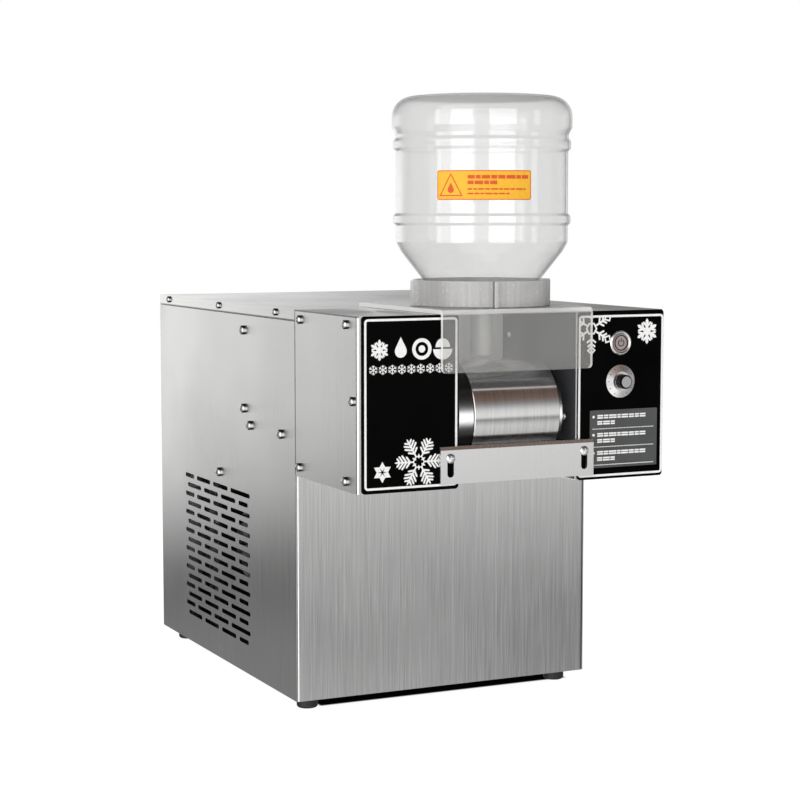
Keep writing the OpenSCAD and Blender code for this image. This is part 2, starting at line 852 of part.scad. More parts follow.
module inner_shelf() {
    shelf_z = base_z + 240;
    shelf_y = front_y + 16;
    shelf_d = 112;
    edge = 12;
    rise = 86;
    line_room = 10;
    color(dark_steel) difference() {
        union() {
            box([-inner_x, shelf_y, shelf_z], [inner_x, shelf_y + shelf_d, shelf_z + wall_t]);
            for (x = [-inner_x, inner_x - wall_t]) {
                box([x, shelf_y, shelf_z - edge], [x + wall_t, shelf_y + shelf_d, shelf_z]);
                box([x, shelf_y + shelf_d - 2 * edge, shelf_z],
                    [x + wall_t, shelf_y + shelf_d, shelf_z + rise]);
            }
        }
        for (side = [-1, 1])
            side_holes([for (i = [0 : 3]) body_screw_at[i]], side, frame_hole_depth);
        translate([line_x, line_drop_y, shelf_z - 1]) cylinder(h = wall_t + 2, r = line_r + line_room);
    }
}

mount_spots = [for (x = [-1, 1], y = [-1, 1]) [comp_x + x * 58, comp_y + y * 42]];
comp_foot_z = pan_z + 12;
comp_foot_t = 2;
comp_foot = [136, 104];

// Hermetic compressor on its foot plate
module compressor() {
    low = comp_foot_z + comp_foot_t;
    high = base_z + 148;
    edge_r = 26;
    relay = [22, 40, 42];
    relay_rise = 30;
    color([0.06, 0.06, 0.06]) {
        difference() {
            translate([comp_x - comp_foot[0] / 2, comp_y - comp_foot[1] / 2, comp_foot_z])
                cube([comp_foot[0], comp_foot[1], comp_foot_t]);
            for (p = mount_spots)
                translate([p[0], p[1], comp_foot_z - 1])
                    cylinder(h = comp_foot_t + 2, r = mount_bolt_r + 1.2);
        }
        translate([comp_x, comp_y, 0]) rotate_extrude() difference() {
            union() {
                translate([0, low]) square([comp_r, high - edge_r - low]);
                translate([0, low]) square([comp_r - edge_r, high - low]);
                translate([comp_r - edge_r, high - edge_r]) circle(edge_r);
            }
            translate([-comp_r, 0]) square([comp_r, high + 10]);
        }
        translate([comp_x + comp_r - 6, comp_y - relay[1] / 2, low + relay_rise]) cube(relay);
    }
}

// Rubber grommets and their bolts
module compressor_mounts() {
    grommet_r = 9;
    color([0.15, 0.15, 0.15]) for (p = mount_spots)
        translate([p[0], p[1], 0]) {
            translate([0, 0, pan_z]) cylinder(h = comp_foot_z - pan_z, r = grommet_r);
            translate([0, 0, base_z]) cylinder(h = comp_foot_z + 10 - base_z, r = mount_bolt_r);
            translate([0, 0, comp_foot_z + comp_foot_t]) cylinder(h = 4, r = 2 * mount_bolt_r, $fn = 6);
        }
}

cond_size = [160, 28, 150];
cond_low = [fan_x - 80, rear_y - 46, pan_z];

// Fin pack with its tubes and end plates
module condenser() {
    fins = 20;
    fin_t = 0.8;
    fin_step = cond_size[0] / (fins - 1);
    rows = 6;
    row_step = 24;
    tube_end = 3;
    color([0.6, 0.6, 0.6]) translate(cond_low) {
        for (i = [0 : fins - 1])
            translate([i * fin_step - fin_t / 2, 0, 0]) cube([fin_t, cond_size[1], cond_size[2]]);
        for (row = [0 : rows - 1], y = [8, 20])
            rod_x(-tube_end, cond_size[0] + tube_end, y, 14 + row * row_step, 3.5, $fn = 24);
    }
}

shroud_d = 10;
arm_reach = 34; // the fan motor's arms, in front of the shroud
motor_y = cond_low[1] - shroud_d - arm_reach;

module fan_shroud() {
    shroud_y = cond_low[1] - shroud_d;
    arm_w = 8;
    tip_clear = 5;
    mouth_r = fan_r + 12;
    color([0.1, 0.1, 0.1]) {
        difference() {
            translate([cond_low[0], shroud_y, cond_low[2]]) cube([cond_size[0], shroud_d, cond_size[2]]);
            rod_y(shroud_y + 2, cond_low[1] + 1, fan_x, fan_z, mouth_r);
            rod_y(shroud_y - 1, cond_low[1] + 1, fan_x, fan_z, fan_r + tip_clear);
        }
        // arms that hold the motor
        for (a = [45 : 90 : 315])
            translate([fan_x, motor_y, fan_z]) rotate([0, a, 0]) {
                box([fan_motor_r, 0, -arm_w / 2], [mouth_r, 2, arm_w / 2]);
                box([mouth_r - 4, 0, -arm_w / 2], [mouth_r, arm_reach, arm_w / 2]);
            }
    }
}

fan_motor_r = 21;
fan_shaft_r = 3;

module fan_motor() {
    color([0.3, 0.3, 0.32]) difference() {
        rod_y(motor_y - 26, motor_y + 6, fan_x, fan_z, fan_motor_r);
        rod_y(motor_y - 2, motor_y + 7, fan_x, fan_z, fan_shaft_r + fit);
    }
}

// Five pitched blades on a hub, with the shaft into the motor
module fan_blades() {
    hub_y = motor_y + 10;
    hub_len = 18;
    blades = 5;
    pitch = 28;
    blade = [fan_r - 16, 1.6, 30];
    color([0.75, 0.75, 0.75]) {
        rod_y(hub_y, hub_y + hub_len, fan_x, fan_z, 17);
        rod_y(hub_y - 11, hub_y, fan_x, fan_z, fan_shaft_r);
        for (i = [0 : blades - 1])
            translate([fan_x, hub_y + hub_len / 2, fan_z]) rotate([0, i * 360 / blades, 0])
                rotate([pitch, 0, 0]) translate([14, -blade[1] / 2, -blade[2] / 2]) cube(blade);
    }
}

drier_at = [92, rear_y - 70, base_z + 120];

module filter_drier() {
    drier_r = 11;
    drier_h = 70;
    cone_h = 8;
    color(copper) translate(drier_at) {
        cylinder(h = drier_h, r = drier_r);
        translate([0, 0, drier_h]) cylinder(h = cone_h, r1 = drier_r, r2 = line_r);
        translate([0, 0, -cone_h]) cylinder(h = cone_h, r1 = line_r, r2 = drier_r);
    }
}

// From the union back through the cheek, over the shelf and down to the compressor
module suction_line() {
    port_z = base_z + 110;
    color(copper) pipe([
        [line_x, drum_y + 15.8, line_z],
        [line_x, line_drop_y, line_z],
        [line_x, line_drop_y, port_z],
        [comp_x + comp_r - 2, line_drop_y, port_z]
    ], line_r);
}

// From the compressor to the condenser
module discharge_line() {
    sunk = 14; // the port's distance from the compressor's middle where it breaks its wall
    port = [comp_x + 17, comp_y + sqrt(comp_r * comp_r - sunk * sunk), base_z + 112];
    rise_z = base_z + 176;
    color(copper) pipe([
        port,
        [port[0], port[1] + 24, port[2]],
        [port[0], port[1] + 24, rise_z],
        [port[0], cond_low[1] + 8, rise_z],
        [port[0], cond_low[1] + 8, cond_low[2] + cond_size[2]]
    ], 3);
}

// Drive board on the shelf, with its relays and transformer
module control_board() {
    board_at = [-100, front_y + 30, base_z + 248];
    board = [110, 70, 1.6];
    post = [3, 6.5];
    post_inset = 6;
    transformer = [34, 28, 24];
    relay = [15, 19, 15];
    capacitor = [6, 18];
    color([0.1, 0.4, 0.2]) translate(board_at) {
        cube(board);
        for (x = [post_inset, board[0] - post_inset], y = [post_inset, board[1] - post_inset])
            translate([x, y, -post[1]]) cylinder(h = post[1], r = post[0]);
        translate([12, 14, board[2]]) cube(transformer);
        for (x = [58, 78])
            translate([x, 14, board[2]]) cube(relay);
        for (x = [60, 76, 92])
            translate([x, 52, board[2]]) cylinder(h = capacitor[1], r = capacitor[0]);
    }
}

// ---- controls ----

barrel_len = 13;

module button_bezel() {
    bezel_h = 1.2;
    lip_h = 1;
    nut = [12, 4];
    color([0.75, 0.75, 0.75]) difference() {
        union() {
            translate([control_x, face_y, button_z]) rotate([90, 0, 0]) {
                cylinder(h = bezel_h, r = bezel_r);
                translate([0, 0, bezel_h]) cylinder(h = lip_h, r1 = bezel_r, r2 = bezel_r - lip_h);
            }
            rod_y(face_y, face_y + barrel_len, control_x, button_z, barrel_r);
            rod_y(steel_y + sheet_t, steel_y + sheet_t + nut[1], control_x, button_z, nut[0], $fn = 6);
        }
        rod_y(face_y - 5, face_y + barrel_len + 1, control_x, button_z, button_bore_r);
        translate([control_x, face_y - bezel_h + 0.1, button_z]) rotate([90, 0, 0])
            cylinder(h = lip_h + 0.2, r1 = button_bore_r, r2 = bezel_r - 1.4);
    }
}

module button_switch() {
    switch_len = 18;
    switch_y = face_y + barrel_len;
    tab = [0.8, 6, 3];
    color([0.1, 0.1, 0.1]) {
        rod_y(switch_y, switch_y + switch_len, control_x, button_z, barrel_r);
        for (x = [-4, 0, 4])
            translate([control_x + x - tab[0] / 2, switch_y + switch_len, button_z - tab[2] / 2]) cube(tab);
    }
}

module button_cap() {
    cap_front = face_y - 1.7;
    groove = [button_r - 2, button_r - 1.2]; // inner and outer radius of a shallow ring
    color([0.4, 0.35, 0.33]) difference() {
        rod_y(cap_front, face_y + 9, control_x, button_z, button_r);
        difference() {
            rod_y(cap_front - 1, cap_front + 0.3, control_x, button_z, groove[1]);
            rod_y(cap_front - 2, cap_front + 1, control_x, button_z, groove[0]);
        }
    }
}

// Conical skirt, body, cap and shaft, turned about the knob's axis
module speed_knob() {
    grip_r = 6;
    skirt_t = 3;
    rim_t = 0.8;
    tip_t = 1;
    skirt_y = face_y - body_gap;
    tip_y = face_y - knob_reach;
    grip_len = skirt_y - tip_y - skirt_t - tip_t;
    color([0.1, 0.1, 0.1]) {
        translate([control_x, skirt_y, knob_z]) rotate([90, 0, 0]) {
            cylinder(h = rim_t, r = skirt_r);
            translate([0, 0, rim_t]) cylinder(h = skirt_t - rim_t, r1 = skirt_r, r2 = grip_r + 2.4);
            translate([0, 0, skirt_t]) cylinder(h = grip_len, r1 = grip_r + 0.2, r2 = grip_r);
        }
        rod_y(tip_y, tip_y + tip_t, control_x, knob_z, grip_r - 0.9);
        rod_y(skirt_y - 1, steel_y + 14, control_x, knob_z, knob_shaft_r);
    }
}

module potentiometer() {
    nut = [12, 4];
    color([0.2, 0.35, 0.55]) difference() {
        union() {
            rod_y(steel_y + sheet_t, steel_y + sheet_t + nut[1], control_x, knob_z, nut[0]);
            rod_y(steel_y + sheet_t + nut[1], steel_y + 16, control_x, knob_z, 11);
            rod_y(steel_y - 0.5, steel_y + sheet_t, control_x, knob_z, pot_neck_r);
        }
        rod_y(steel_y - 2, steel_y + 14.5, control_x, knob_z, knob_shaft_r + fit);
    }
}

// A box centred on the inlet's axis, between two depths
module inlet_box(size, from_y, to_y) {
    translate([inlet_x, 0, inlet_z])
        box([-size[0] / 2, from_y, -size[1] / 2], [size[0] / 2, to_y, size[1] / 2]);
}

// Recessed appliance inlet with three pins
module power_inlet() {
    body_d = 16;
    face = rear_y + inlet_reach;
    floor_y = rear_y - 11;
    wall = 2;
    pin = [2, 9.4, 4];
    pin_step = 7;
    pin_offset = 2; // the middle pin stands above the others
    color([0.08, 0.08, 0.08]) difference() {
        union() {
            inlet_box([50, 24], rear_y, face);
            inlet_box(inlet_size, rear_y - body_d, rear_y);
        }
        inlet_box([inlet_size[0] - 2 * wall, inlet_size[1] - 2 * wall], floor_y, face + 1);
        for (side = [-1, 1])
            rod_y(rear_y - 1, face + 1, inlet_x + side * inlet_screw_x, inlet_z, inlet_hole_r, $fn = 24);
    }
    color([0.8, 0.8, 0.8]) {
        for (i = [-1, 0, 1])
            translate([inlet_x + i * pin_step - pin[0] / 2, floor_y - 1,
                inlet_z - pin[2] / 2 + (i == 0 ? pin_offset : -pin_offset)]) cube(pin);
        for (side = [-1, 1])
            translate([inlet_x + side * inlet_screw_x, face - 1.3, inlet_z]) rotate([-90, 0, 0])
                pan_screw(2.6, inlet_hole_r - 0.1, 6);
    }
}

// ---- feed ----

// Clear sheet folded over the head: the front leg guards the drum, the top leg carries the bottle
module splash_guard() {
    corner_r = 4;
    front_low = top_z - guard_drop;
    inner_bend = guard_bend - guard_t;
    top_of = guard_z + guard_t;
    color(clear) difference() {
        intersection() {
            along_x(guard_x, guard_w) difference() {
                union() {
                    translate([guard_front_y, front_low]) square([guard_t, top_of - guard_bend - front_low]);
                    translate([guard_front_y + guard_bend, guard_z])
                        square([guard_back - guard_front_y - guard_bend, guard_t]);
                    translate([guard_front_y + guard_bend, top_of - guard_bend]) circle(guard_bend);
                }
                translate([guard_front_y + guard_bend, top_of - guard_bend]) circle(inner_bend, $fn = 32);
                translate([guard_front_y + guard_bend, front_low])
                    square([guard_back - guard_front_y, top_of - guard_t - front_low]);
                translate([guard_front_y + guard_t, front_low])
                    square([guard_back - guard_front_y, top_of - guard_bend - front_low]);
            }
            along_y(guard_front_y - 1, guard_back - guard_front_y + 2) {
                translate([guard_x, front_low]) rounded_rect(guard_w, guard_drop + 20, corner_r);
            }
        }
        translate([0, bottle_y, guard_z - 1]) cylinder(h = guard_t + 2, r = tube_r + fit);
    }
}

rib_angles = [180, 253, 0, 73];

module bottle_collar() {
    rib_reach = 8;
    rib_t = 3;
    color([0.55, 0.56, 0.57, 0.6]) translate([0, bottle_y, collar_z]) difference() {
        union() {
            cylinder(h = collar_h, r = collar_r, $fn = 128);
            for (a = rib_angles)
                rotate(a) translate([collar_r - 1, -rib_t / 2, 0]) cube([rib_reach + 1, rib_t, collar_h]);
        }
        translate([0, 0, -1]) cylinder(h = collar_h + 2, r = collar_r - collar_t, $fn = 128);
    }
}

// Drip tube that hangs in the bracket's hole
module feed_tube() {
    color([0.9, 0.92, 0.93, 0.6]) translate([0, bottle_y, tube_end_z]) difference() {
        cylinder(h = guard_z + guard_t - tube_end_z, r = tube_r);
        translate([0, 0, -1]) cylinder(h = guard_z + guard_t - tube_end_z + 2, r = tube_bore_r);
    }
}

// Half profile of the upturned bottle, from the neck up, shrunk by the wall for its inside
function quarter_arc(c, r, from, to, steps) =
    [for (i = [0 : steps]) let (a = from + (to - from) * i / steps) c + r * [cos(a), sin(a)]];
function bottle_side(t) = concat(
    [
        [neck_r - t, neck_z + (t > 0 ? -1 : 0)],
        [neck_r - t, neck_z + 6],
        [49.5 - t, base_z + 369],
        [bottle_r - 4.5 - t, base_z + 394],
        [bottle_r - t, base_z + 402],
        [bottle_r - t, base_z + 416],
        [bottle_r + 2.3 - t, base_z + 418.5],
        [bottle_r + 2.3 - t, base_z + 424],
        [bottle_r - t, base_z + 426.5],
        [bottle_r - t, base_z + 479],
        [bottle_r + 2.3 - t, base_z + 481.5],
        [bottle_r + 2.3 - t, base_z + 487],
        [bottle_r + 0.3 - t, base_z + 490],
        [bottle_r + 0.3 - t, base_z + 493],
        [bottle_r + 3.3 - t, base_z + 499]
    ],
    quarter_arc([bottle_r - 13.7, base_z + 508], 17 - t, 0, 90, 8)
);

module bottle() {
    color(clear) translate([0, bottle_y, 0]) rotate_extrude($fn = 128) difference() {
        polygon(concat([[0, neck_z]], bottle_side(0), [[0, base_z + 525]]));
        polygon(concat([[0, neck_z - 1]], bottle_side(bottle_t), [[0, base_z + 525 - bottle_t]]));
    }
}

// Plug in the neck with the spout that dips into the drip tube
module bottle_cap() {
    plug_r = neck_r - bottle_t;
    color([0.85, 0.87, 0.88]) translate([0, bottle_y, neck_z]) difference() {
        union() {
            cylinder(h = 5, r = plug_r);
            translate([0, 0, -22]) cylinder(h = 23, r = spout_r);
        }
        translate([0, 0, -23]) cylinder(h = 40, r = spout_bore_r);
    }
}

base_pan();
inner_frame();
left_side_panel();
right_side_panel();
front_panel();
rear_panel();
top_cover();
head_back_plate();
left_head_cover();
right_head_cover();
left_drum_wall();
right_drum_wall();
left_fascia();
right_fascia();
instruction_plate();
foot_front_left();
foot_front_right();
foot_rear_left();
foot_rear_right();
casing_screws();
head_screws();
rear_screws();
drum_wall_screws();
left_bearing();
right_bearing();
drum_shell();
drum_left_cap();
drum_right_cap();
drum_shaft();
drum_gear();
motor_pinion();
gear_motor();
motor_bracket();
scraper_blade();
blade_holder();
scraper_plate();
scraper_screws();
rotary_union();
inner_shelf();
compressor();
compressor_mounts();
condenser();
fan_shroud();
fan_motor();
fan_blades();
filter_drier();
suction_line();
discharge_line();
control_board();
button_bezel();
button_switch();
button_cap();
speed_knob();
potentiometer();
power_inlet();
splash_guard();
bottle_collar();
feed_tube();
bottle();
bottle_cap();
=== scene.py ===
"""Looks of the counter-top snowflake ice machine: finishes, prints, studio and camera for its CAD frame."""

import json
import math

import bmesh
import bpy
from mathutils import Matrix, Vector


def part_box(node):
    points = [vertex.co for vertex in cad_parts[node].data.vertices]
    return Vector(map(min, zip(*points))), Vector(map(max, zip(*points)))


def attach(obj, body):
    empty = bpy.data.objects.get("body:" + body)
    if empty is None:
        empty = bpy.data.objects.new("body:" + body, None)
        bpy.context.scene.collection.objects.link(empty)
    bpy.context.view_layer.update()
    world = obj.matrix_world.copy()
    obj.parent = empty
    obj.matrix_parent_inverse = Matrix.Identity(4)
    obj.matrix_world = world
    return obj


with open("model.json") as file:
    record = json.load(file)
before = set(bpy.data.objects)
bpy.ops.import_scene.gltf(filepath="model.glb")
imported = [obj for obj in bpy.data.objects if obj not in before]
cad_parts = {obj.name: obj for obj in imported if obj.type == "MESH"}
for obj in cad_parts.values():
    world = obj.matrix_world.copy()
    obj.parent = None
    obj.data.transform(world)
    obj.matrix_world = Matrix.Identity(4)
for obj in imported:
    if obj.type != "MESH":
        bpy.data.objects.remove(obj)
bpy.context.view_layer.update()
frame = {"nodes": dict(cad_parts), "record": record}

MM = 0.001


# ---- shader helpers ----

class Shader:
    """A node tree with short calls: an input takes a number, a colour or another node's output."""

    def __init__(self, tree):
        self.tree = tree

    def set(self, socket, value):
        if isinstance(value, bpy.types.NodeSocket):
            self.tree.links.new(value, socket)
        else:
            socket.default_value = value

    def add(self, kind, inputs=None, **settings):
        node = self.tree.nodes.new("ShaderNode" + kind)
        for key, value in settings.items():
            setattr(node, key, value)
        for key, value in (inputs or {}).items():
            self.set(node.inputs[key], value)
        return node

    def math(self, operation, a, b=0.0, c=0.0, clamp=False):
        return self.add("Math", {0: a, 1: b, 2: c}, operation=operation, use_clamp=clamp).outputs[0]

    def times(self, a, b):
        return self.math("MULTIPLY", a, b)

    def most(self, a, b):
        return self.math("MAXIMUM", a, b)

    def above(self, value, limit):
        """1 where the value is over the limit, and 0 elsewhere; below is the other way round."""
        return self.math("GREATER_THAN", value, limit)

    def below(self, value, limit):
        return self.math("LESS_THAN", value, limit)

    def magnitude(self, value):
        return self.math("ABSOLUTE", value)

    def remap(self, value, low, high, to_low=0.0, to_high=1.0, smooth=False):
        kind = "SMOOTHSTEP" if smooth else "LINEAR"
        inputs = {"Value": value, "From Min": low, "From Max": high, "To Min": to_low, "To Max": to_high}
        return self.add("MapRange", inputs, interpolation_type=kind).outputs[0]

    def mix(self, factor, a, b, blend="MIX"):
        node = self.add("Mix", data_type="RGBA", blend_type=blend, clamp_factor=True)
        for index, value in ((0, factor), (6, a), (7, b)):
            self.set(node.inputs[index], rgba(value))
        return node.outputs[2]

    def product(self, a, b):
        return self.mix(1.0, a, b, "MULTIPLY")

    def total(self, a, b):
        return self.mix(1.0, a, b, "ADD")

    def ramp(self, value, stops):
        """Colours by position; each stop is (position, grey or colour)."""
        node = self.add("ValToRGB", {"Fac": value})
        elements = node.color_ramp.elements
        while len(elements) < len(stops):
            elements.new(0.5)
        for element, (position, colour) in zip(elements, stops):
            element.position = position
            element.color = rgba(colour if isinstance(colour, tuple) else (colour,) * 3)
        return node.outputs["Color"]

    def place(self):
        return self.add("TexCoord").outputs["Object"]

    def normal(self):
        return self.add("TexCoord").outputs["Normal"]

    def split(self, vector):
        """The X, Y and Z of a vector."""
        return self.add("SeparateXYZ", {0: vector}).outputs

    def axes(self):
        return self.split(self.place())

    def away(self, a, b):
        """The vector in a plane, from its distances along two axes, and its length."""
        vector = self.add("CombineXYZ", {0: a, 1: b}).outputs[0]
        return vector, self.add("VectorMath", {0: vector}, operation="LENGTH").outputs["Value"]

    def noise(self, scale, detail=2.0, rough=0.5, shift=0.0):
        """Noise by place; scale is a number of features per metre, or one such number for each axis."""
        if not isinstance(scale, tuple):
            scale = (scale,) * 3
        mapped = self.add("Mapping", {"Vector": self.place(), "Scale": scale, "Location": (shift,) * 3})
        inputs = {"Vector": mapped.outputs[0], "Scale": 1.0, "Detail": detail, "Roughness": rough}
        return self.add("TexNoise", inputs).outputs["Fac"]

    def bump(self, height, distance, strength=1.0):
        return self.add("Bump", {"Height": height, "Distance": distance, "Strength": strength}).outputs[0]


def rgba(value):
    """Adds the alpha to a plain colour, and leaves sockets and numbers alone."""
    return (*value, 1.0) if isinstance(value, tuple) and len(value) == 3 else value


def new_material(name):
    material = bpy.data.materials.new(name)
    material.use_nodes = True
    shader = Shader(material.node_tree)
    shader.bsdf = material.node_tree.nodes["Principled BSDF"]
    shader.output = material.node_tree.nodes["Material Output"]
    shader.material = material
    return shader


def finish(shader, **inputs):
    """Sets the main shader's inputs, named as in Blender with _ for a space, and returns the material."""
    for key, value in inputs.items():
        shader.set(shader.bsdf.inputs[key.replace("_", " ")], rgba(value))
    return shader.material


# ---- finishes ----

def grain_scale(along, across_per_m, along_per_m):
    """Noise scales for a grain that runs along one or more axes."""
    return tuple(along_per_m if axis in along else across_per_m for axis in "xyz")


def brushed_steel(name, colour, along="z", rough=0.22, contrast=0.21, tangent="Z", turned=0.0,
                  anisotropy=0.85, depth=0.00003, metallic=1.0, painted_shade_lines=None):
    """Stainless sheet: a fine grain, fainter streaks through it, and faint cloudiness from handling.
    The last argument gives, from the shader, where painted shade darkens the sheet along its folds and seams."""
    s = new_material(name)
    streaks = s.noise(grain_scale(along, across_per_m=480, along_per_m=3), detail=3, rough=0.6)
    grain = s.noise(grain_scale(along, across_per_m=1300, along_per_m=18), detail=3, rough=0.6, shift=3)
    clouds = s.noise(7, detail=3, shift=11)
    pattern = s.math("ADD", s.times(streaks, 0.25), s.times(grain, 0.75))
    level = s.remap(pattern, 0.3, 0.7, 1 - contrast, 1 + contrast * 0.4)
    level = s.times(level, s.remap(clouds, 0.3, 0.7, 0.96, 1.02))
    # painted shade at folds and seams darkens the grain's level
    if painted_shade_lines:
        level = s.times(level, s.math("SUBTRACT", 1.0, painted_shade_lines(s)))
    base = s.product(colour, s.add("CombineColor", {0: level, 1: level, 2: level}).outputs[0])
    rougher = s.remap(pattern, 0.3, 0.7, rough - 0.03, rough + 0.04)
    rougher = s.math("ADD", rougher, s.remap(clouds, 0.35, 0.65, -0.02, 0.03))
    along_tangent = s.add("Tangent", direction_type="RADIAL", axis=tangent).outputs[0]
    return finish(s, Base_Color=base, Metallic=metallic, Roughness=rougher, Normal=s.bump(grain, depth, 0.4),
                  Tangent=along_tangent, Anisotropic=anisotropy, Anisotropic_Rotation=turned)


def line_at(s, axis, place, half_width):
    """1 within a distance of a plane across an axis."""
    off = s.magnitude(s.math("SUBTRACT", s.axes()[axis], place))
    return s.below(off, half_width)


def painted_seam_and_fold_shade(s):
    """Painted shade at the seams between side panel, lid and head cover, and at the fold on the head's top.
    """
    darkness, faces_side = 0.72, 0.3
    panel, lid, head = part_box("left_side_panel"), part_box("top_cover"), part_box("left_head_cover")
    nx = s.split(s.normal())[0]
    upright = line_at(s, 1, panel[0].y, 1.0 * MM)
    on_head = s.below(s.axes()[1], panel[0].y)
    level = s.times(line_at(s, 2, lid[0].z, 0.9 * MM), s.math("SUBTRACT", 1.0, on_head))
    fold = s.times(line_at(s, 2, head[1].z, 1.3 * MM), on_head)
    # painted shade along the seams and the fold, kept to faces that look sideways
    seams = s.times(s.most(s.most(upright, level), fold), darkness)
    return s.times(seams, s.above(s.magnitude(nx), faces_side))


def painted_seam_and_slot_shade(s):
    """Painted shade at the side panels' seams and on the walls of their air slots."""
    darkness, faces_side, before_slots = 0.93, 0.8, 90 * MM
    nx = s.split(s.normal())[0]
    behind = s.above(s.axes()[1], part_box("left_side_panel")[0].y + before_slots)
    # painted shade inside the air slots, behind the front of the panel
    walls = s.times(s.below(s.magnitude(nx), faces_side), behind)
    return s.most(painted_seam_and_fold_shade(s), s.times(walls, darkness))


def painted_lid_shade(s):
    """The same painted seam shade on the lid, whose folded sides are also painted a little darker than its
    top.
    """
    darkness, faces_side = 0.1, 0.6
    nx = s.split(s.normal())[0]
    # painted shade on the lid's folded sides
    flange = s.times(s.above(s.magnitude(nx), faces_side), darkness)
    return s.most(painted_seam_and_fold_shade(s), flange)


def side_screw_finish(name):
    """Bright round screw heads; their upper and lower flanks carry a painted dark reflection of the room."""
    s = new_material(name)
    nx, _, nz = s.split(s.normal())
    flank = s.below(s.magnitude(nx), 0.8)
    # painted dark reflection on the flanks that face up or down
    dark = s.times(s.remap(s.magnitude(nz), 0.3, 0.5, smooth=True), flank)
    marks = s.noise(900, 3)
    bright = s.mix(s.remap(marks, 0.4, 0.7), (0.9, 0.89, 0.88), (0.75, 0.74, 0.73))
    return finish(s, Base_Color=s.mix(dark, bright, (0.035, 0.03, 0.03)), Metallic=1.0,
                  Roughness=s.remap(marks, 0.3, 0.7, 0.12, 0.2))


def zinc_sheet(name, colour=(0.42, 0.43, 0.43)):
    """Plain zinc-coated sheet with its faint spangle."""
    s = new_material(name)
    spangle = s.add("TexVoronoi", {"Vector": s.place(), "Scale": 160.0}).outputs["Color"]
    base = s.mix(0.12, colour, spangle, "MULTIPLY")
    dust = s.remap(s.noise(40, 3), 0.4, 0.7)
    base = s.mix(s.times(dust, 0.25), base, (0.3, 0.29, 0.27))
    return finish(s, Base_Color=base, Metallic=0.9, Roughness=s.remap(dust, 0, 1, 0.34, 0.5))


def plated(name, colour, rough=0.14):
    """Bright machined or plated metal with fine handling marks."""
    s = new_material(name)
    marks = s.noise(900, 3)
    base = s.mix(s.remap(marks, 0.4, 0.7), colour, tuple(0.82 * c for c in colour))
    return finish(s, Base_Color=base, Metallic=1.0, Roughness=s.remap(marks, 0.3, 0.7, rough, rough + 0.1),
                  Normal=s.bump(marks, 0.00002, 0.3))


def gloss_black(name, rough=0.06, specular=0.02):
    """Black smooth panel with a breath of haze."""
    s = new_material(name)
    haze = s.noise(30, 4)
    base = s.mix(s.remap(haze, 0.35, 0.7), (0.0008, 0.0008, 0.0008), (0.0016, 0.0015, 0.0014))
    return finish(s, Base_Color=base, Roughness=s.remap(haze, 0.3, 0.7, rough, rough + 0.06),
                  Specular_IOR_Level=specular, Normal=s.bump(s.noise(120, 2), 0.00002, 0.2))


def plastic(name, colour, rough, grain=700, depth=0.00004, spread=0.1, specular=0.5):
    """Moulded plastic, rubber or paint: a fine texture, and small changes of tone and gloss."""
    s = new_material(name)
    texture = s.noise(grain, 2)
    tone = s.noise(25, 3, shift=5)
    darker = tuple(c * (1 - spread) for c in colour)
    lighter = tuple(min(1.0, c * (1 + spread)) for c in colour)
    base = s.mix(s.remap(tone, 0.35, 0.65), darker, lighter)
    return finish(s, Base_Color=base, Roughness=s.remap(texture, 0.3, 0.7, rough - 0.05, rough + 0.06),
                  Normal=s.bump(texture, depth, 0.5), Specular_IOR_Level=specular)


def see_through(name, tint, edge_tint, haze, haze_colour, rough=0.03, base_gloss=0.04, speckle=0.0,
                cloud_scale=60, edge_power=5.0, painted_lit_edges=None, painted_dark_edges=None):
    """Clear or cloudy plastic: what is behind shows through a tint that deepens towards the edges, with a
    haze over it. The last two arguments give, from the shader, where a painted highlight turns its edges
    white and where painted shade turns them black."""
    painted_edge_cover, mirror_gain = 0.85, 0.5
    s = new_material(name)
    facing = s.add("LayerWeight", {"Blend": 0.5}).outputs["Facing"]
    steep = s.math("POWER", facing, edge_power)
    clear = s.add("BsdfTransparent", {"Color": s.mix(steep, tint, edge_tint)}).outputs[0]
    cloud = s.noise(cloud_scale, 4)
    amount = s.times(s.remap(cloud, 0.3, 0.7, 0.9, 1.12), haze)
    if speckle:
        bubbles = s.remap(s.noise(520, 1, shift=9), 0.66, 0.72)
        amount = s.math("ADD", amount, s.times(bubbles, speckle), clamp=True)
    # painted highlights make some edges white, painted shade makes others black
    for find_painted_edges, painted_edge_colour in ((painted_lit_edges, (0.95, 0.95, 0.94)), (painted_dark_edges, (0.08, 0.08, 0.08))):
        if find_painted_edges:
            edges = find_painted_edges(s)
            amount = s.most(amount, s.times(edges, painted_edge_cover))
            haze_colour = s.mix(edges, haze_colour, painted_edge_colour)
    body = s.add("BsdfDiffuse", {"Color": rgba(haze_colour)}).outputs[0]
    cloudy = s.add("MixShader", {0: amount, 1: clear, 2: body}).outputs[0]
    shine = s.add("BsdfGlossy", {"Color": (1, 1, 1, 1), "Roughness": rough}).outputs[0]
    fresnel = s.math("ADD", s.times(s.math("POWER", facing, 5.0), mirror_gain), base_gloss)
    mixed = s.add("MixShader", {0: fresnel, 1: cloudy, 2: shine}).outputs[0]
    s.tree.nodes.remove(s.bsdf)
    s.set(s.output.inputs["Surface"], mixed)
    return s.material


def guard_painted_highlights(s):
    """Painted highlights on the splash guard's side edges, the lower edge of its front, and more faintly its
    bend.
    """
    nx, ny, nz = s.split(s.normal())
    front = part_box("splash_guard")[0].y + 4 * MM
    sides = s.above(s.magnitude(nx), 0.35)
    lower = s.times(s.below(nz, -0.35), s.below(s.axes()[1], front))
    bend = s.times(s.below(ny, -0.3), s.above(nz, 0.3))
    return s.most(s.most(sides, lower), s.times(bend, 0.6))


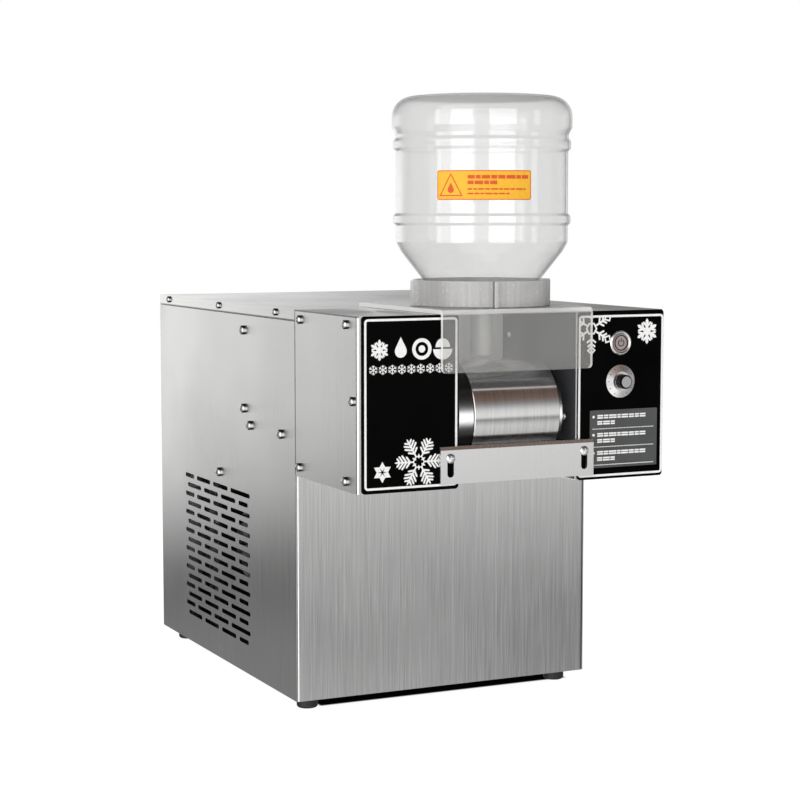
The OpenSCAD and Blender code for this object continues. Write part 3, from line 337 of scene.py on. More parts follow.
def collar_reach(s):
    """Distance from the bottle collar's axis, and the part of the normal that points away from it."""
    low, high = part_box("bottle")
    x, y, _ = s.axes()
    across, reach = s.away(s.math("SUBTRACT", x, (low.x + high.x) / 2),
                           s.math("SUBTRACT", y, (low.y + high.y) / 2))
    outwards = s.add("VectorMath", {0: across}, operation="NORMALIZE").outputs[0]
    normal = s.normal()
    along = s.add("VectorMath", {0: outwards, 1: normal}, operation="DOT_PRODUCT").outputs["Value"]
    return reach, along, normal


RIB_START_R = 59.4 * MM  # the collar's ribs stand outside this radius


def collar_painted_shade(s):
    """Painted shade on the collar's foot and on the sides of its ribs that face left."""
    reach, along, normal = collar_reach(s)
    nx = s.split(normal)[0]
    on_rib = s.above(reach, RIB_START_R)
    side = s.below(s.magnitude(along), 0.5)
    left = s.times(s.times(on_rib, side), s.below(nx, -0.5))
    foot = s.below(s.axes()[2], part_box("bottle_collar")[0].z + 0.9 * MM)
    return s.most(s.times(left, 0.9), s.times(foot, 0.75))


def collar_painted_light(s):
    """Painted highlights on the outer ends of the collar's ribs, their sides that face the front, and its top
    rim.
    """
    reach, along, normal = collar_reach(s)
    _, ny, nz = s.split(normal)
    on_rib = s.above(reach, RIB_START_R)
    front = s.most(s.above(along, 0.8), s.below(ny, -0.7))
    rim = s.above(nz, 0.6)
    return s.most(s.times(s.times(on_rib, front), 0.35), s.times(rim, 0.3))


def speed_knob_finish(name):
    """Turned aluminium skirt, black grip and a pale insert in the tip."""
    skirt_rise, insert_sunk, insert_r = 3.4 * MM, 0.6 * MM, 4.7 * MM
    s = new_material(name)
    low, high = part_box("speed_knob")
    x, depth, z = s.axes()
    off_axis = s.away(s.math("SUBTRACT", x, (low.x + high.x) / 2),
                      s.math("SUBTRACT", z, (low.z + high.z) / 2))[1]
    skirt = s.above(depth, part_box("right_fascia")[0].y - skirt_rise)
    insert = s.times(s.below(depth, low.y + insert_sunk), s.below(off_axis, insert_r))
    metal = s.most(skirt, insert)
    turning = s.noise((1400, 300, 1400), 2)
    colour = s.mix(insert, (0.004, 0.004, 0.0045), (0.6, 0.6, 0.61))
    colour = s.mix(skirt, colour, s.mix(s.remap(turning, 0.3, 0.7), (0.8, 0.79, 0.78), (0.93, 0.92, 0.91)))
    return finish(s, Base_Color=colour, Metallic=metal, Roughness=s.remap(turning, 0.3, 0.7, 0.26, 0.4),
                  Specular_IOR_Level=0.08)


def inlet_finish(name):
    """Black appliance inlet with bright pins and fixing screws."""
    screw_aside, screw_reach = 20 * MM, (2.8 * MM, 2.75 * MM)
    pin_reach, pin_depth = (9 * MM, 5 * MM), 13.8 * MM
    s = new_material(name)
    low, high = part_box("power_inlet")
    centre = (low + high) / 2
    x, y, z = s.axes()
    aside = s.magnitude(s.math("SUBTRACT", x, centre.x))
    up = s.magnitude(s.math("SUBTRACT", z, centre.z))
    screws = s.below(s.magnitude(s.math("SUBTRACT", aside, screw_aside)), screw_reach[0])
    screws = s.times(screws, s.below(up, screw_reach[1]))
    pins = s.times(s.below(aside, pin_reach[0]), s.below(up, pin_reach[1]))
    pins = s.times(pins, s.above(y, high.y - pin_depth))
    metal = s.most(screws, pins)
    texture = s.noise(800, 2)
    return finish(s, Base_Color=s.mix(metal, (0.02, 0.02, 0.021), (0.7, 0.7, 0.69)), Metallic=metal,
                  Roughness=s.remap(texture, 0.3, 0.7, 0.3, 0.46), Normal=s.bump(texture, 0.00003, 0.4))


def finned(name):
    """Mill-finish aluminium fins with a little dust in them."""
    s = new_material(name)
    dust = s.remap(s.noise(60, 4), 0.4, 0.75)
    base = s.mix(dust, (0.62, 0.62, 0.63), (0.34, 0.33, 0.31))
    return finish(s, Base_Color=base, Metallic=0.85, Roughness=s.remap(dust, 0, 1, 0.35, 0.6))


def circuit_board(name):
    """Green board: the solder mask shows faint tracks, and the parts on it are darker."""
    s = new_material(name)
    board_top = 8.2 * MM  # over the feet of its stand-offs
    raised = s.above(s.axes()[2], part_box("control_board")[0].z + board_top)
    tracks = s.add("TexBrick", {"Vector": s.place(), "Scale": 140.0, "Mortar Size": 0.03}).outputs["Fac"]
    board = s.mix(tracks, (0.02, 0.13, 0.05), (0.06, 0.26, 0.1))
    parts = s.mix(s.remap(s.noise(50, 1), 0.45, 0.55), (0.02, 0.03, 0.05), (0.25, 0.24, 0.2))
    return finish(s, Base_Color=s.mix(raised, board, parts),
                  Roughness=s.remap(s.noise(300), 0.3, 0.7, 0.3, 0.5))


STEEL = (0.73, 0.73, 0.725)
FINISHES = {
    "casing_steel": brushed_steel("casing_steel", STEEL),
    "inner_steel": zinc_sheet("inner_steel"),
    "screw_steel": plated("screw_steel", (0.86, 0.855, 0.84), 0.1),
    "drum_steel": brushed_steel("drum_steel", (0.8, 0.795, 0.79), along="yz", rough=0.17, contrast=0.14,
                                tangent="X", turned=0.25, anisotropy=0.8),
    "blade_steel": brushed_steel("blade_steel", (0.85, 0.85, 0.84), along="x", rough=0.24, anisotropy=0.3),
    "gloss_black": gloss_black("gloss_black"),
    "plate_grey": plastic("plate_grey", (0.075, 0.08, 0.08), 0.42, specular=0.25),
    "foot_rubber": plastic("foot_rubber", (0.012, 0.012, 0.012), 0.55, grain=500),
    "black_plastic": plastic("black_plastic", (0.018, 0.018, 0.019), 0.45),
    "gear_nylon": plastic("gear_nylon", (0.72, 0.69, 0.6), 0.42),
    "motor_metal": plastic("motor_metal", (0.16, 0.16, 0.17), 0.35),
    "union_brass": plated("union_brass", (0.8, 0.6, 0.28), 0.2),
    "compressor_black": plastic("compressor_black", (0.012, 0.012, 0.013), 0.28, grain=260, depth=0.0001),
    "fin_aluminium": finned("fin_aluminium"),
    "copper_tube": plated("copper_tube", (0.82, 0.42, 0.26), 0.24),
    "board_green": circuit_board("board_green"),
    "bezel_steel": brushed_steel("bezel_steel", (0.78, 0.775, 0.76), rough=0.22, tangent="Y", anisotropy=0.4),
    "button_face": brushed_steel("button_face", (0.56, 0.48, 0.465), rough=0.26, tangent="Y", anisotropy=0.4),
    "knob_black": speed_knob_finish("knob_black"),
    "pot_body": plastic("pot_body", (0.03, 0.08, 0.16), 0.4),
    "clear_acrylic": see_through("clear_acrylic", (0.97, 0.97, 0.965), (0.75, 0.77, 0.75), 0.1,
                                 (0.7, 0.7, 0.68), painted_lit_edges=guard_painted_highlights),
    "grey_acrylic": see_through("grey_acrylic", (0.86, 0.86, 0.85), (0.45, 0.45, 0.45), 0.47,
                                (0.68, 0.68, 0.675), rough=0.12, speckle=0.2,
                                cloud_scale=grain_scale("z", 420, 9), painted_lit_edges=collar_painted_light,
                                painted_dark_edges=collar_painted_shade),
    "tube_clear": see_through("tube_clear", (0.93, 0.93, 0.92), (0.72, 0.72, 0.72), 0.6, (0.92, 0.92, 0.91)),
    "bottle_clear": see_through("bottle_clear", (0.937, 0.938, 0.936), (0.55, 0.55, 0.55), 0.03,
                                (0.8, 0.8, 0.8), edge_power=8.0),
    "cap_white": plastic("cap_white", (0.62, 0.63, 0.64), 0.35),
}
LID_STEEL = brushed_steel("lid_steel", (0.68, 0.68, 0.675), along="y", rough=0.16, contrast=0.14, tangent="Y",
                          anisotropy=0.3, painted_shade_lines=painted_lid_shade)
SIDE_STEEL = brushed_steel("side_steel", STEEL, contrast=0.13, depth=0.00001, painted_shade_lines=painted_seam_and_slot_shade)
COVER_STEEL = brushed_steel("cover_steel", STEEL, contrast=0.13, depth=0.00001, painted_shade_lines=painted_seam_and_fold_shade)
SIDE_SCREW = side_screw_finish("side_screw_steel")
PLATE_STEEL = brushed_steel("front_plate_steel", (0.9, 0.9, 0.895), rough=0.24, contrast=0.08, anisotropy=0.6)
INLET = inlet_finish("inlet_black")
CAP_BLACK = gloss_black("cap_black", rough=0.27, specular=0.5)
WALL_BLACK = plastic("wall_black", (0.055, 0.057, 0.061), 0.35, spread=0.05)
BACK_PLATE_STEEL = brushed_steel("back_plate_steel", (0.97, 0.97, 0.965), rough=0.5, contrast=0.1,
                                 metallic=0.35)
DULL_SCREW = plated("dull_screw_steel", (0.92, 0.92, 0.9), 0.45)
OWN_FINISH = {
    "top_cover": LID_STEEL,
    "left_side_panel": SIDE_STEEL,
    "right_side_panel": SIDE_STEEL,
    "left_head_cover": COVER_STEEL,
    "right_head_cover": COVER_STEEL,
    "head_back_plate": BACK_PLATE_STEEL,
    "scraper_plate": PLATE_STEEL,
    "casing_screws": SIDE_SCREW,
    "head_screws": SIDE_SCREW,
    "drum_wall_screws": DULL_SCREW,
    "left_drum_wall": WALL_BLACK,
    "right_drum_wall": WALL_BLACK,
    "drum_left_cap": CAP_BLACK,
    "drum_right_cap": CAP_BLACK,
    "power_inlet": INLET,
}


def paint_frame():
    """Each CAD node takes the finish of its material slot, or its own."""
    for part in frame["record"]["subparts"]:
        node = frame["nodes"][part["node"]]
        material = OWN_FINISH.get(part["node"], FINISHES[part["material_slot"]])
        for slot in node.material_slots:
            slot.material = material


def round_edges(names, width_mm, segments=2):
    """Breaks the sharp edges of CAD nodes, so that they catch the light."""
    for name in names:
        bevel = frame["nodes"][name].modifiers.new("edges", "BEVEL")
        bevel.width = width_mm * MM
        bevel.segments = segments
        bevel.limit_method = "ANGLE"
        bevel.angle_limit = math.radians(40)
        bevel.harden_normals = False


# ---- printed graphics ----
# A print is drawn flat, in millimetres, and laid on a surface as a thin skin. An outline is a list of points,
# a shape is a list of outlines that share edges, and a drawing is a list of shapes, which may overlap.

def rounded(width, height, radius, steps=6):
    """Outline of a rectangle with round corners, about the middle."""
    points = []
    for turn, (sx, sy) in enumerate(((1, 1), (-1, 1), (-1, -1), (1, -1))):
        for step in range(steps + 1):
            angle = math.radians(90 * (turn + step / steps))
            points.append((sx * (width / 2 - radius) + radius * math.cos(angle),
                           sy * (height / 2 - radius) + radius * math.sin(angle)))
    return points


def circle(radius, steps=32, x=0.0, y=0.0):
    angles = [2 * math.pi * i / steps for i in range(steps)]
    return [(x + radius * math.cos(a), y + radius * math.sin(a)) for a in angles]


def half_disc(x, y, half_width, height, upwards):
    """Outline of half an ellipse that stands on its flat side, or hangs from it."""
    rise = height if upwards else -height
    angles = [math.radians(15 * i) for i in range(13)]
    return [(x + half_width * math.cos(a), y + rise * math.sin(a)) for a in angles]


def bar(x, y, width, height):
    """Outline of a rectangle from its low corner."""
    return [(x, y), (x + width, y), (x + width, y + height), (x, y + height)]


def stroke(start, end, width, pointed=0.0):
    """Outline of a straight stroke between two points, with a pointed far end if asked."""
    (x0, y0), (x1, y1) = start, end
    length = math.hypot(x1 - x0, y1 - y0)
    ux, uy = (x1 - x0) / length, (y1 - y0) / length
    nx, ny = -uy * width / 2, ux * width / 2
    points = [(x0 + nx, y0 + ny), (x0 - nx, y0 - ny), (x1 - nx, y1 - ny)]
    if pointed:
        points.append((x1 + ux * pointed, y1 + uy * pointed))
    return points + [(x1 + nx, y1 + ny)]


def drop(x, y, size):
    """Outline of a water drop about a point."""
    points = [(0, 1.0)]
    for step in range(13):
        angle = math.radians(30 - 240 * step / 12)
        points.append((0.58 * math.cos(angle), 0.58 * math.sin(angle) - 0.25))
    return [(x + size / 2 * u, y + size / 2 * v) for u, v in points]


def band(outer, inner):
    """Shape between two closed outlines with as many points each."""
    count = len(outer)
    return [[outer[i], outer[(i + 1) % count], inner[(i + 1) % count], inner[i]] for i in range(count)]


def frame_line(low, high, radius, line):
    """Rounded frame of a given line width between two corners."""
    width, height = high[0] - low[0], high[1] - low[1]
    middle = ((low[0] + high[0]) / 2, (low[1] + high[1]) / 2)
    shape = band(rounded(width, height, radius), rounded(width - 2 * line, height - 2 * line, radius - line))
    return turned([shape], 0, middle)[0]


def ring(radius, line, steps=40):
    return band(circle(radius, steps), circle(radius - line, steps))


def arc_band(radius, line, start, end, steps=24):
    """Part of a ring between two angles in degrees."""
    angles = [math.radians(start + (end - start) * i / steps) for i in range(steps + 1)]
    edge = [((radius * math.cos(a), radius * math.sin(a)),
             ((radius - line) * math.cos(a), (radius - line) * math.sin(a))) for a in angles]
    return [[edge[i][0], edge[i + 1][0], edge[i + 1][1], edge[i][1]] for i in range(steps)]


def turned(drawing, angle, centre=(0, 0)):
    """Turns a drawing about the middle and moves it to a centre."""
    c, s = math.cos(math.radians(angle)), math.sin(math.radians(angle))
    cx, cy = centre
    return [[[(cx + c * x - s * y, cy + s * x + c * y) for x, y in outline] for outline in shape]
            for shape in drawing]


def six_fold(drawing, centre, turn=0):
    return [shape for arm in range(6) for shape in turned(drawing, 60 * arm + turn, centre)]


def fern_flake(centre, radius):
    """Snow crystal with a barbed spine to each arm and an open heart."""
    arm = [[stroke((0.24 * radius, 0), (0.93 * radius, 0), 0.06 * radius, 0.07 * radius)]]
    for at, reach in ((0.36, 0.24), (0.5, 0.31), (0.64, 0.27), (0.78, 0.18)):
        for side in (-1, 1):
            tip = ((at + 0.6 * reach) * radius, side * 0.8 * reach * radius)
            arm.append([stroke((at * radius, 0), tip, 0.07 * radius, 0.04 * radius)])
    petals = six_fold([[[(0.12 * radius, 0), (0.2 * radius, -0.055 * radius), (0.31 * radius, 0),
                         (0.2 * radius, 0.055 * radius)]]], centre, 30)
    return six_fold(arm, centre) + petals + turned([ring(0.25 * radius, 0.05 * radius, 6)], 0, centre)


def block_flake(centre, radius):
    """Open snow crystal: plain arms with small open squares on their ends."""
    arm = [[stroke((0.22 * radius, 0), (0.68 * radius, 0), 0.075 * radius)]]
    corners = [math.radians(90 * k) for k in range(4)]
    square = [[(0.84 * radius + r * math.cos(a), r * math.sin(a)) for a in corners]
              for r in (0.19 * radius, 0.105 * radius)]
    arm.append(band(*square))
    for at, reach in ((0.4, 0.2), (0.58, 0.17)):
        for side in (-1, 1):
            tip = ((at + 0.7 * reach) * radius, side * reach * radius)
            arm.append([stroke((at * radius, 0), tip, 0.075 * radius)])
    return six_fold(arm, centre, 30) + turned([ring(0.26 * radius, 0.075 * radius, 6)], 0, centre)


def petal_flower(centre, radius):
    """Six pointed petals round a small open middle."""
    petal = [[[(0.12 * radius, 0), (0.5 * radius, -0.3 * radius), (radius, 0), (0.5 * radius, 0.3 * radius)]]]
    return six_fold(petal, centre, 30)


def asterisk(centre, radius):
    """Six plain strokes with a short pair of side strokes on each, for a row of small crystals."""
    arm = [[stroke((0, 0), (0.9 * radius, 0), 0.13 * radius)]]
    for side in (-1, 1):
        arm.append([stroke((0.5 * radius, 0), (0.76 * radius, side * 0.28 * radius), 0.12 * radius)])
    return six_fold(arm, centre, 30)


def star_flake(centre, radius):
    """Small solid crystal: short thick arms with one pair of side points each."""
    arm = [[stroke((0.12 * radius, 0), (0.84 * radius, 0), 0.26 * radius, 0.16 * radius)]]
    for side in (-1, 1):
        tip = (0.68 * radius, side * 0.3 * radius)
        arm.append([stroke((0.36 * radius, 0), tip, 0.17 * radius, 0.1 * radius)])
    return six_fold(arm, centre, 30) + turned([[circle(0.3 * radius, 12)]], 0, centre)


def clip(drawing, low, high):
    """Cuts a drawing to a rectangle."""
    limits = ((0, low[0], 1), (0, high[0], -1), (1, low[1], 1), (1, high[1], -1))
    cut = [[clip_outline(outline, limits) for outline in shape] for shape in drawing]
    return [[outline for outline in shape if outline] for shape in cut if any(shape)]


def clip_outline(outline, limits):
    """What is left of an outline, or None; each limit is an axis, a place on it and the side that stays."""
    for axis, limit, sign in limits:
        cut = []
        for a, b in zip(outline, outline[1:] + outline[:1]):
            da, db = sign * (a[axis] - limit), sign * (b[axis] - limit)
            if da >= 0:
                cut.append(a)
            if da * db < 0:
                t = da / (da - db)
                cut.append((a[0] + t * (b[0] - a[0]), a[1] + t * (b[1] - a[1])))
        outline = cut
    return outline if len(outline) >= 3 else None


def on_plane(x, y, z):
    """Places a print on a surface that faces the front, from the millimetre point given."""
    return lambda u, v, h: Vector(((x + u) * MM, (y - h) * MM, (z + v) * MM))


def on_cylinder(axis_x, axis_y, radius, facing, z):
    """Wraps a print round an upright cylinder; facing is the turn from the front, in degrees."""
    def place(u, v, h):
        angle = math.radians(facing) + u / radius
        reach = radius + h
        return Vector(((axis_x + reach * math.sin(angle)) * MM, (axis_y - reach * math.cos(angle)) * MM,
                       (z + v) * MM))
    return place


def on_cone(x, z, rim_y, rim_r, slope):
    """Places a print on a cone round the Y axis; slope is its rise per millimetre in from the rim."""
    def place(u, v, h):
        rise = slope * (rim_r - math.hypot(u, v))
        return Vector(((x + u) * MM, (rim_y - rise - h) * MM, (z + v) * MM))
    return place


def prism(shape, height, split):
    """Closed solid over a shape. split is the widest step allowed along u, for a surface that curves."""
    mesh = bmesh.new()
    for outline in shape:
        mesh.faces.new([mesh.verts.new((u, v, 0)) for u, v in outline])
    bmesh.ops.remove_doubles(mesh, verts=mesh.verts[:], dist=0.002)
    if split:
        low, high = min(v.co.x for v in mesh.verts), max(v.co.x for v in mesh.verts)
        for step in range(1, int((high - low) / split) + 1):
            everything = mesh.verts[:] + mesh.edges[:] + mesh.faces[:]
            cut_at = (low + step * split, 0, 0)
            bmesh.ops.bisect_plane(mesh, geom=everything, plane_co=cut_at, plane_no=(1, 0, 0))
    bmesh.ops.recalc_face_normals(mesh, faces=mesh.faces[:])
    top = bmesh.ops.extrude_face_region(mesh, geom=mesh.faces[:])
    for vertex in (g for g in top["geom"] if isinstance(g, bmesh.types.BMVert)):
        vertex.co.z = height
    return mesh


def lay_print(name, drawing, place, thickness, material, body, lift=0.0, split=None):
    """Lays a drawing on a surface. Each shape is a hair thicker than the last, so that no two coincide."""
    hair = 0.003
    whole = bmesh.new()
    for index, shape in enumerate(drawing):
        mesh = prism(shape, thickness + hair * index, split)
        for vertex in mesh.verts:
            vertex.co = place(vertex.co.x, vertex.co.y, vertex.co.z + lift)
        bmesh.ops.recalc_face_normals(mesh, faces=mesh.faces[:])
        data = bpy.data.meshes.new(name)
        mesh.to_mesh(data)
        mesh.free()
        whole.from_mesh(data)
        bpy.data.meshes.remove(data)
    data = bpy.data.meshes.new(name)
    whole.to_mesh(data)
    whole.free()
    return add_piece(name, data, material, body)


def add_piece(name, data, material, body):
    data.materials.append(material)
    piece = bpy.data.objects.new(name, data)
    bpy.context.scene.collection.objects.link(piece)
    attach(piece, body)
    return piece


def ink(name, colour, rough=0.45):
    """Screen-printed ink: slightly uneven cover."""
    s = new_material(name)
    cover = s.noise(500, 3)
    base = s.mix(s.remap(cover, 0.35, 0.7), colour, tuple(0.9 * c for c in colour))
    return finish(s, Base_Color=base, Roughness=s.remap(cover, 0.3, 0.7, rough, rough + 0.12),
                  Specular_IOR_Level=0.25)


WHITE_INK = ink("white_ink", (0.86, 0.86, 0.85))
RED_INK = ink("red_ink", (0.66, 0.1, 0.03))
AMBER_INK = ink("amber_ink", (0.87, 0.46, 0.035), 0.35)
DARK_INK = ink("dark_ink", (0.025, 0.022, 0.02))
# dark brown for the painted shade of the gap round the button
GAP_SHADE_INK = ink("gap_shade_ink", (0.022, 0.01, 0.009))
# sizes of the prints, in millimetres; the ink on the controls is thinner
PRINT_T, INK_T = 0.12, 0.05
BORDER_LINE, BORDER_R = 1.9, 3.2


def millimetres(node):
    """A CAD node's box in millimetres."""
    low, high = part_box(node)
    return low / MM, high / MM


def lay_white(name, drawing, place):
    """White print on the cabinet."""
    lay_print(name, drawing, place, PRINT_T, WHITE_INK, "cabinet")


def print_left_fascia():
    """A border, signs for what the machine works with, a row of crystals, a large crystal and a flower."""
    low, high = millimetres("left_fascia")
    place = on_plane(0, low.y, 0)
    middle_x = (low.x + high.x) / 2 + 0.5
    corners = (low.x + 2.2, low.z + 2.9), (high.x - 1.2, high.z - 2.3)
    lay_white("left_border", [frame_line(*corners, BORDER_R, BORDER_LINE)], place)

    # plain signs: a crystal, a drop, a drum and a bowl
    icon, gap, row_z = 17.5, 19.0, high.z - 27.5
    row_x = [middle_x + (i - 1.5) * gap for i in range(4)]
    signs = star_flake((row_x[0], row_z), icon / 2)
    signs += [[drop(row_x[1], row_z + 1, icon * 1.05)]]
    signs += turned([ring(icon / 2, 3), [circle(3, 20)]], 0, (row_x[2], row_z))
    signs += [[half_disc(row_x[3], row_z - 0.6, icon / 2, icon / 2, False)],
              [half_disc(row_x[3], row_z + 1, icon * 0.38, icon * 0.42, True)]]
    lay_white("sign_row", signs, place)
    small_r, small_step, small_z = 4.4, 8.5, high.z - 43.5
    frieze = []
    for i in range(-4, 5):
        frieze += asterisk((middle_x + small_step * i, small_z), small_r)
    lay_white("sign_frieze", frieze, place)

    lay_white("fern_flake", fern_flake((middle_x + 6.8, low.z + 24.2), 22), place)
    lay_white("petal_flower", petal_flower((low.x + 18.2, low.z + 17.2), 8.6), place)


def print_right_fascia():
    """A border, an open crystal that it cuts off, and a small solid one."""
    low, high = millimetres("right_fascia")
    place = on_plane(0, low.y, 0)
    corners = (low.x + 0.4, low.z + 2.2), (high.x - 0.2, high.z - 3.8)
    lay_white("right_border", [frame_line(*corners, BORDER_R, BORDER_LINE)], place)
    inner = [(x + BORDER_LINE * sign, z + BORDER_LINE * sign) for (x, z), sign in zip(corners, (1, -1))]
    lay_white("block_flake", clip(block_flake((low.x + 12.8, high.z - 15), 22), *inner), place)
    lay_white("star_flake", star_flake((high.x - 16.8, high.z - 18.5), 11), place)


def print_instruction_plate():
    """Three steps, each a bullet, two rows of short bars in two tiers, and a dotted rule."""
    low, high = millimetres("instruction_plate")
    place = on_plane(low.x, low.y, low.z)
    width, height = high.x - low.x, high.z - low.z
    steps, margin, bullet_r, bullet_x, bullet_down = 3, 2.4, 1.15, 3.4, 3.2
    first_bar_x, bars_down, row_step, tier_step = 7.2, 4.8, 5.2, 1.9
    bar_unit, bar_h, bar_gap = 0.82, 1.3, 0.9
    first_dot_x, dots_up, dot_step, dot_size = 2.5, 1.6, 1.5, (0.85, 0.7)
    step_h = (height - 3) / steps
    marks = []
    for step in range(steps):
        top = height - margin - step * step_h
        marks.append([circle(bullet_r, 12, bullet_x, top - bullet_down)])
        for row, words in enumerate(((7, 5, 9, 4, 8, 6, 5, 7), (6, 8, 5))):
            x = first_bar_x
            for word in words:
                for tier in range(2):
                    bar_z = top - bars_down - row * row_step + tier * tier_step
                    marks.append([bar(x, bar_z, word * bar_unit, bar_h)])
                x += word * bar_unit + bar_gap
        dots = int((width - 2 * first_dot_x) / dot_step)
        dots_z = top - step_h + dots_up
        marks += [[bar(first_dot_x + dot_step * i, dots_z, *dot_size)] for i in range(dots)]
    lay_white("step_marks", marks, place)


def print_controls():
    """Painted shade as a dark ring round the button's edge, its power sign, and ticks round the knob's skirt.
    """
    low, high = millimetres("button_cap")
    centre = (low + high) / 2
    place = on_plane(centre.x, low.y, centre.z)
    ring_r, ring_line, sign_r, sign_line = 6.8, 1.0, 3.2, 0.9
    # dark ring of painted shade for the gap round the button
    lay_print("button_gap_shade", [ring(ring_r, ring_line)], place, INK_T, GAP_SHADE_INK, "button")
    sign = [arc_band(sign_r, sign_line, 120, 420), [bar(-sign_line / 2, 0.6, sign_line, 3.3)]]
    lay_print("power_sign", sign, place, INK_T, DARK_INK, "button")

    low, high = millimetres("speed_knob")
    centre, rim_r = (low + high) / 2, (high.x - low.x) / 2
    rim_out, skirt_rise, skirt_top_r = 1.1, 2.2, 8.4
    rim_y = millimetres("right_fascia")[0].y - rim_out
    cone = on_cone(centre.x, centre.z, rim_y, rim_r, skirt_rise / (rim_r - skirt_top_r))
    tick_r, tick_length, tick_line, tick_step, first_turn = 11.3, 1.5, 0.44, 30, -60
    tick = [[bar(tick_r, -tick_line / 2, tick_length, tick_line)]]
    ticks = [shape for i in range(11) for shape in turned(tick, tick_step * i + first_turn)]
    lay_print("knob_ticks", ticks, cone, INK_T, DARK_INK, "knob")


def label_bottle():
    """Amber sticker on the bottle's wall: a triangle with a drop in it, and rows of plain bars."""
    low, high = millimetres("bottle")
    axis_x, axis_y = (low.x + high.x) / 2, (low.y + high.y) / 2
    wall_r, facing, middle_z = 73.5, -26, low.z + 101.2
    label_w, label_h, corner_r, split = 81.0, 24.3, 1.8, 3
    place = on_cylinder(axis_x, axis_y, wall_r, facing, middle_z)
    label = [[rounded(label_w, label_h, corner_r)]]
    lay_print("bottle_label", label, place, PRINT_T, AMBER_INK, "bottle_set", split=split)

    half_w, half_h = label_w / 2 - 0.15, label_h / 2 - 0.15
    marks = [frame_line((-half_w, -half_h), (half_w, half_h), 1.7, 0.7)]
    sign_x, sign_z, sign_w, sign_h, inset = -38.5, -9, 20.5, 19, 0.15
    centre_x, centre_z = sign_x + sign_w / 2, sign_z + 6.3
    corners = [(sign_x, sign_z), (sign_x + sign_w, sign_z), (centre_x, sign_z + sign_h)]
    inner = [(x + (centre_x - x) * inset, z + (centre_z - z) * inset) for x, z in corners]
    marks.append(band(corners, inner))
    marks.append([drop(centre_x, centre_z + 0.1, 9.5)])
    first_bar_x, bar_gap, large, small = -14.0, 0.8, 3.0, 1.3
    for z, height, words in ((5.2, large, (6, 4, 7, 5, 6, 8, 4, 6)),
                             (0.6, large, (5, 7, 4, 6)),
                             (-3.9, small, (4, 3, 5, 4, 6, 3, 5, 4, 6, 2)),
                             (-7.6, small, (5, 4, 3, 6, 4, 5, 3))):
        x = first_bar_x
        for word in words:
            marks.append([bar(x, z, word, height)])
            x += word + bar_gap
    lay_print("label_marks", marks, place, 0.03, RED_INK, "bottle_set", lift=PRINT_T,
              split=split)


# ---- studio ----

def add_camera():
    """The photograph's camera, recovered from the machine's planes."""
    camera = bpy.data.objects.new("camera", bpy.data.cameras.new("camera"))
    azimuth, elevation = -25.458, 5.384
    camera.location = (-0.7852, -1.6668, 0.4352)
    camera.rotation_euler = (math.radians(90 - elevation), 0, math.radians(azimuth))
    camera.data.lens = 87.9
    bpy.context.scene.collection.objects.link(camera)
    bpy.context.scene.camera = camera


def add_floor():
    """White floor, glowing, with a painted shadow between the feet; polished steel sees the studio in its
    place.
    """
    data = bpy.data.meshes.new("floor")
    half = 30.0
    corners = [(-half, -half, 0), (half, -half, 0), (half, half, 0), (-half, half, 0)]
    data.from_pydata(corners, [], [(0, 1, 2, 3)])
    s = new_material("white_floor")
    front_foot, rear_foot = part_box("foot_front_left"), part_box("foot_rear_right")
    left_x, right_x, fade_x = front_foot[1].x, rear_foot[1].x, 4 * MM
    front_y, rear_y, fade_y = front_foot[0].y + 4 * MM, rear_foot[1].y, 5 * MM
    x, y, _ = s.axes()
    # painted shadow under the machine: dark floor without glow between the feet
    shade = s.remap(x, left_x, left_x + fade_x, smooth=True)
    shade = s.times(shade, s.remap(x, right_x, right_x + fade_x, 1, 0, smooth=True))
    shade = s.times(shade, s.remap(y, front_y, front_y + fade_y, smooth=True))
    shade = s.times(shade, s.below(y, rear_y))
    white = s.mix(s.noise(2, 2), (0.15, 0.15, 0.15), (0.17, 0.17, 0.17))
    data.materials.append(finish(s, Base_Color=s.mix(shade, white, (0.004, 0.004, 0.004)), Roughness=0.9,
                                 Specular_IOR_Level=0.0, Emission_Color=(1, 1, 1),
                                 Emission_Strength=s.remap(shade, 0, 1, 0.95, 0.0)))
    floor = bpy.data.objects.new("floor", data)
    bpy.context.scene.collection.objects.link(floor)
    floor.visible_glossy = False


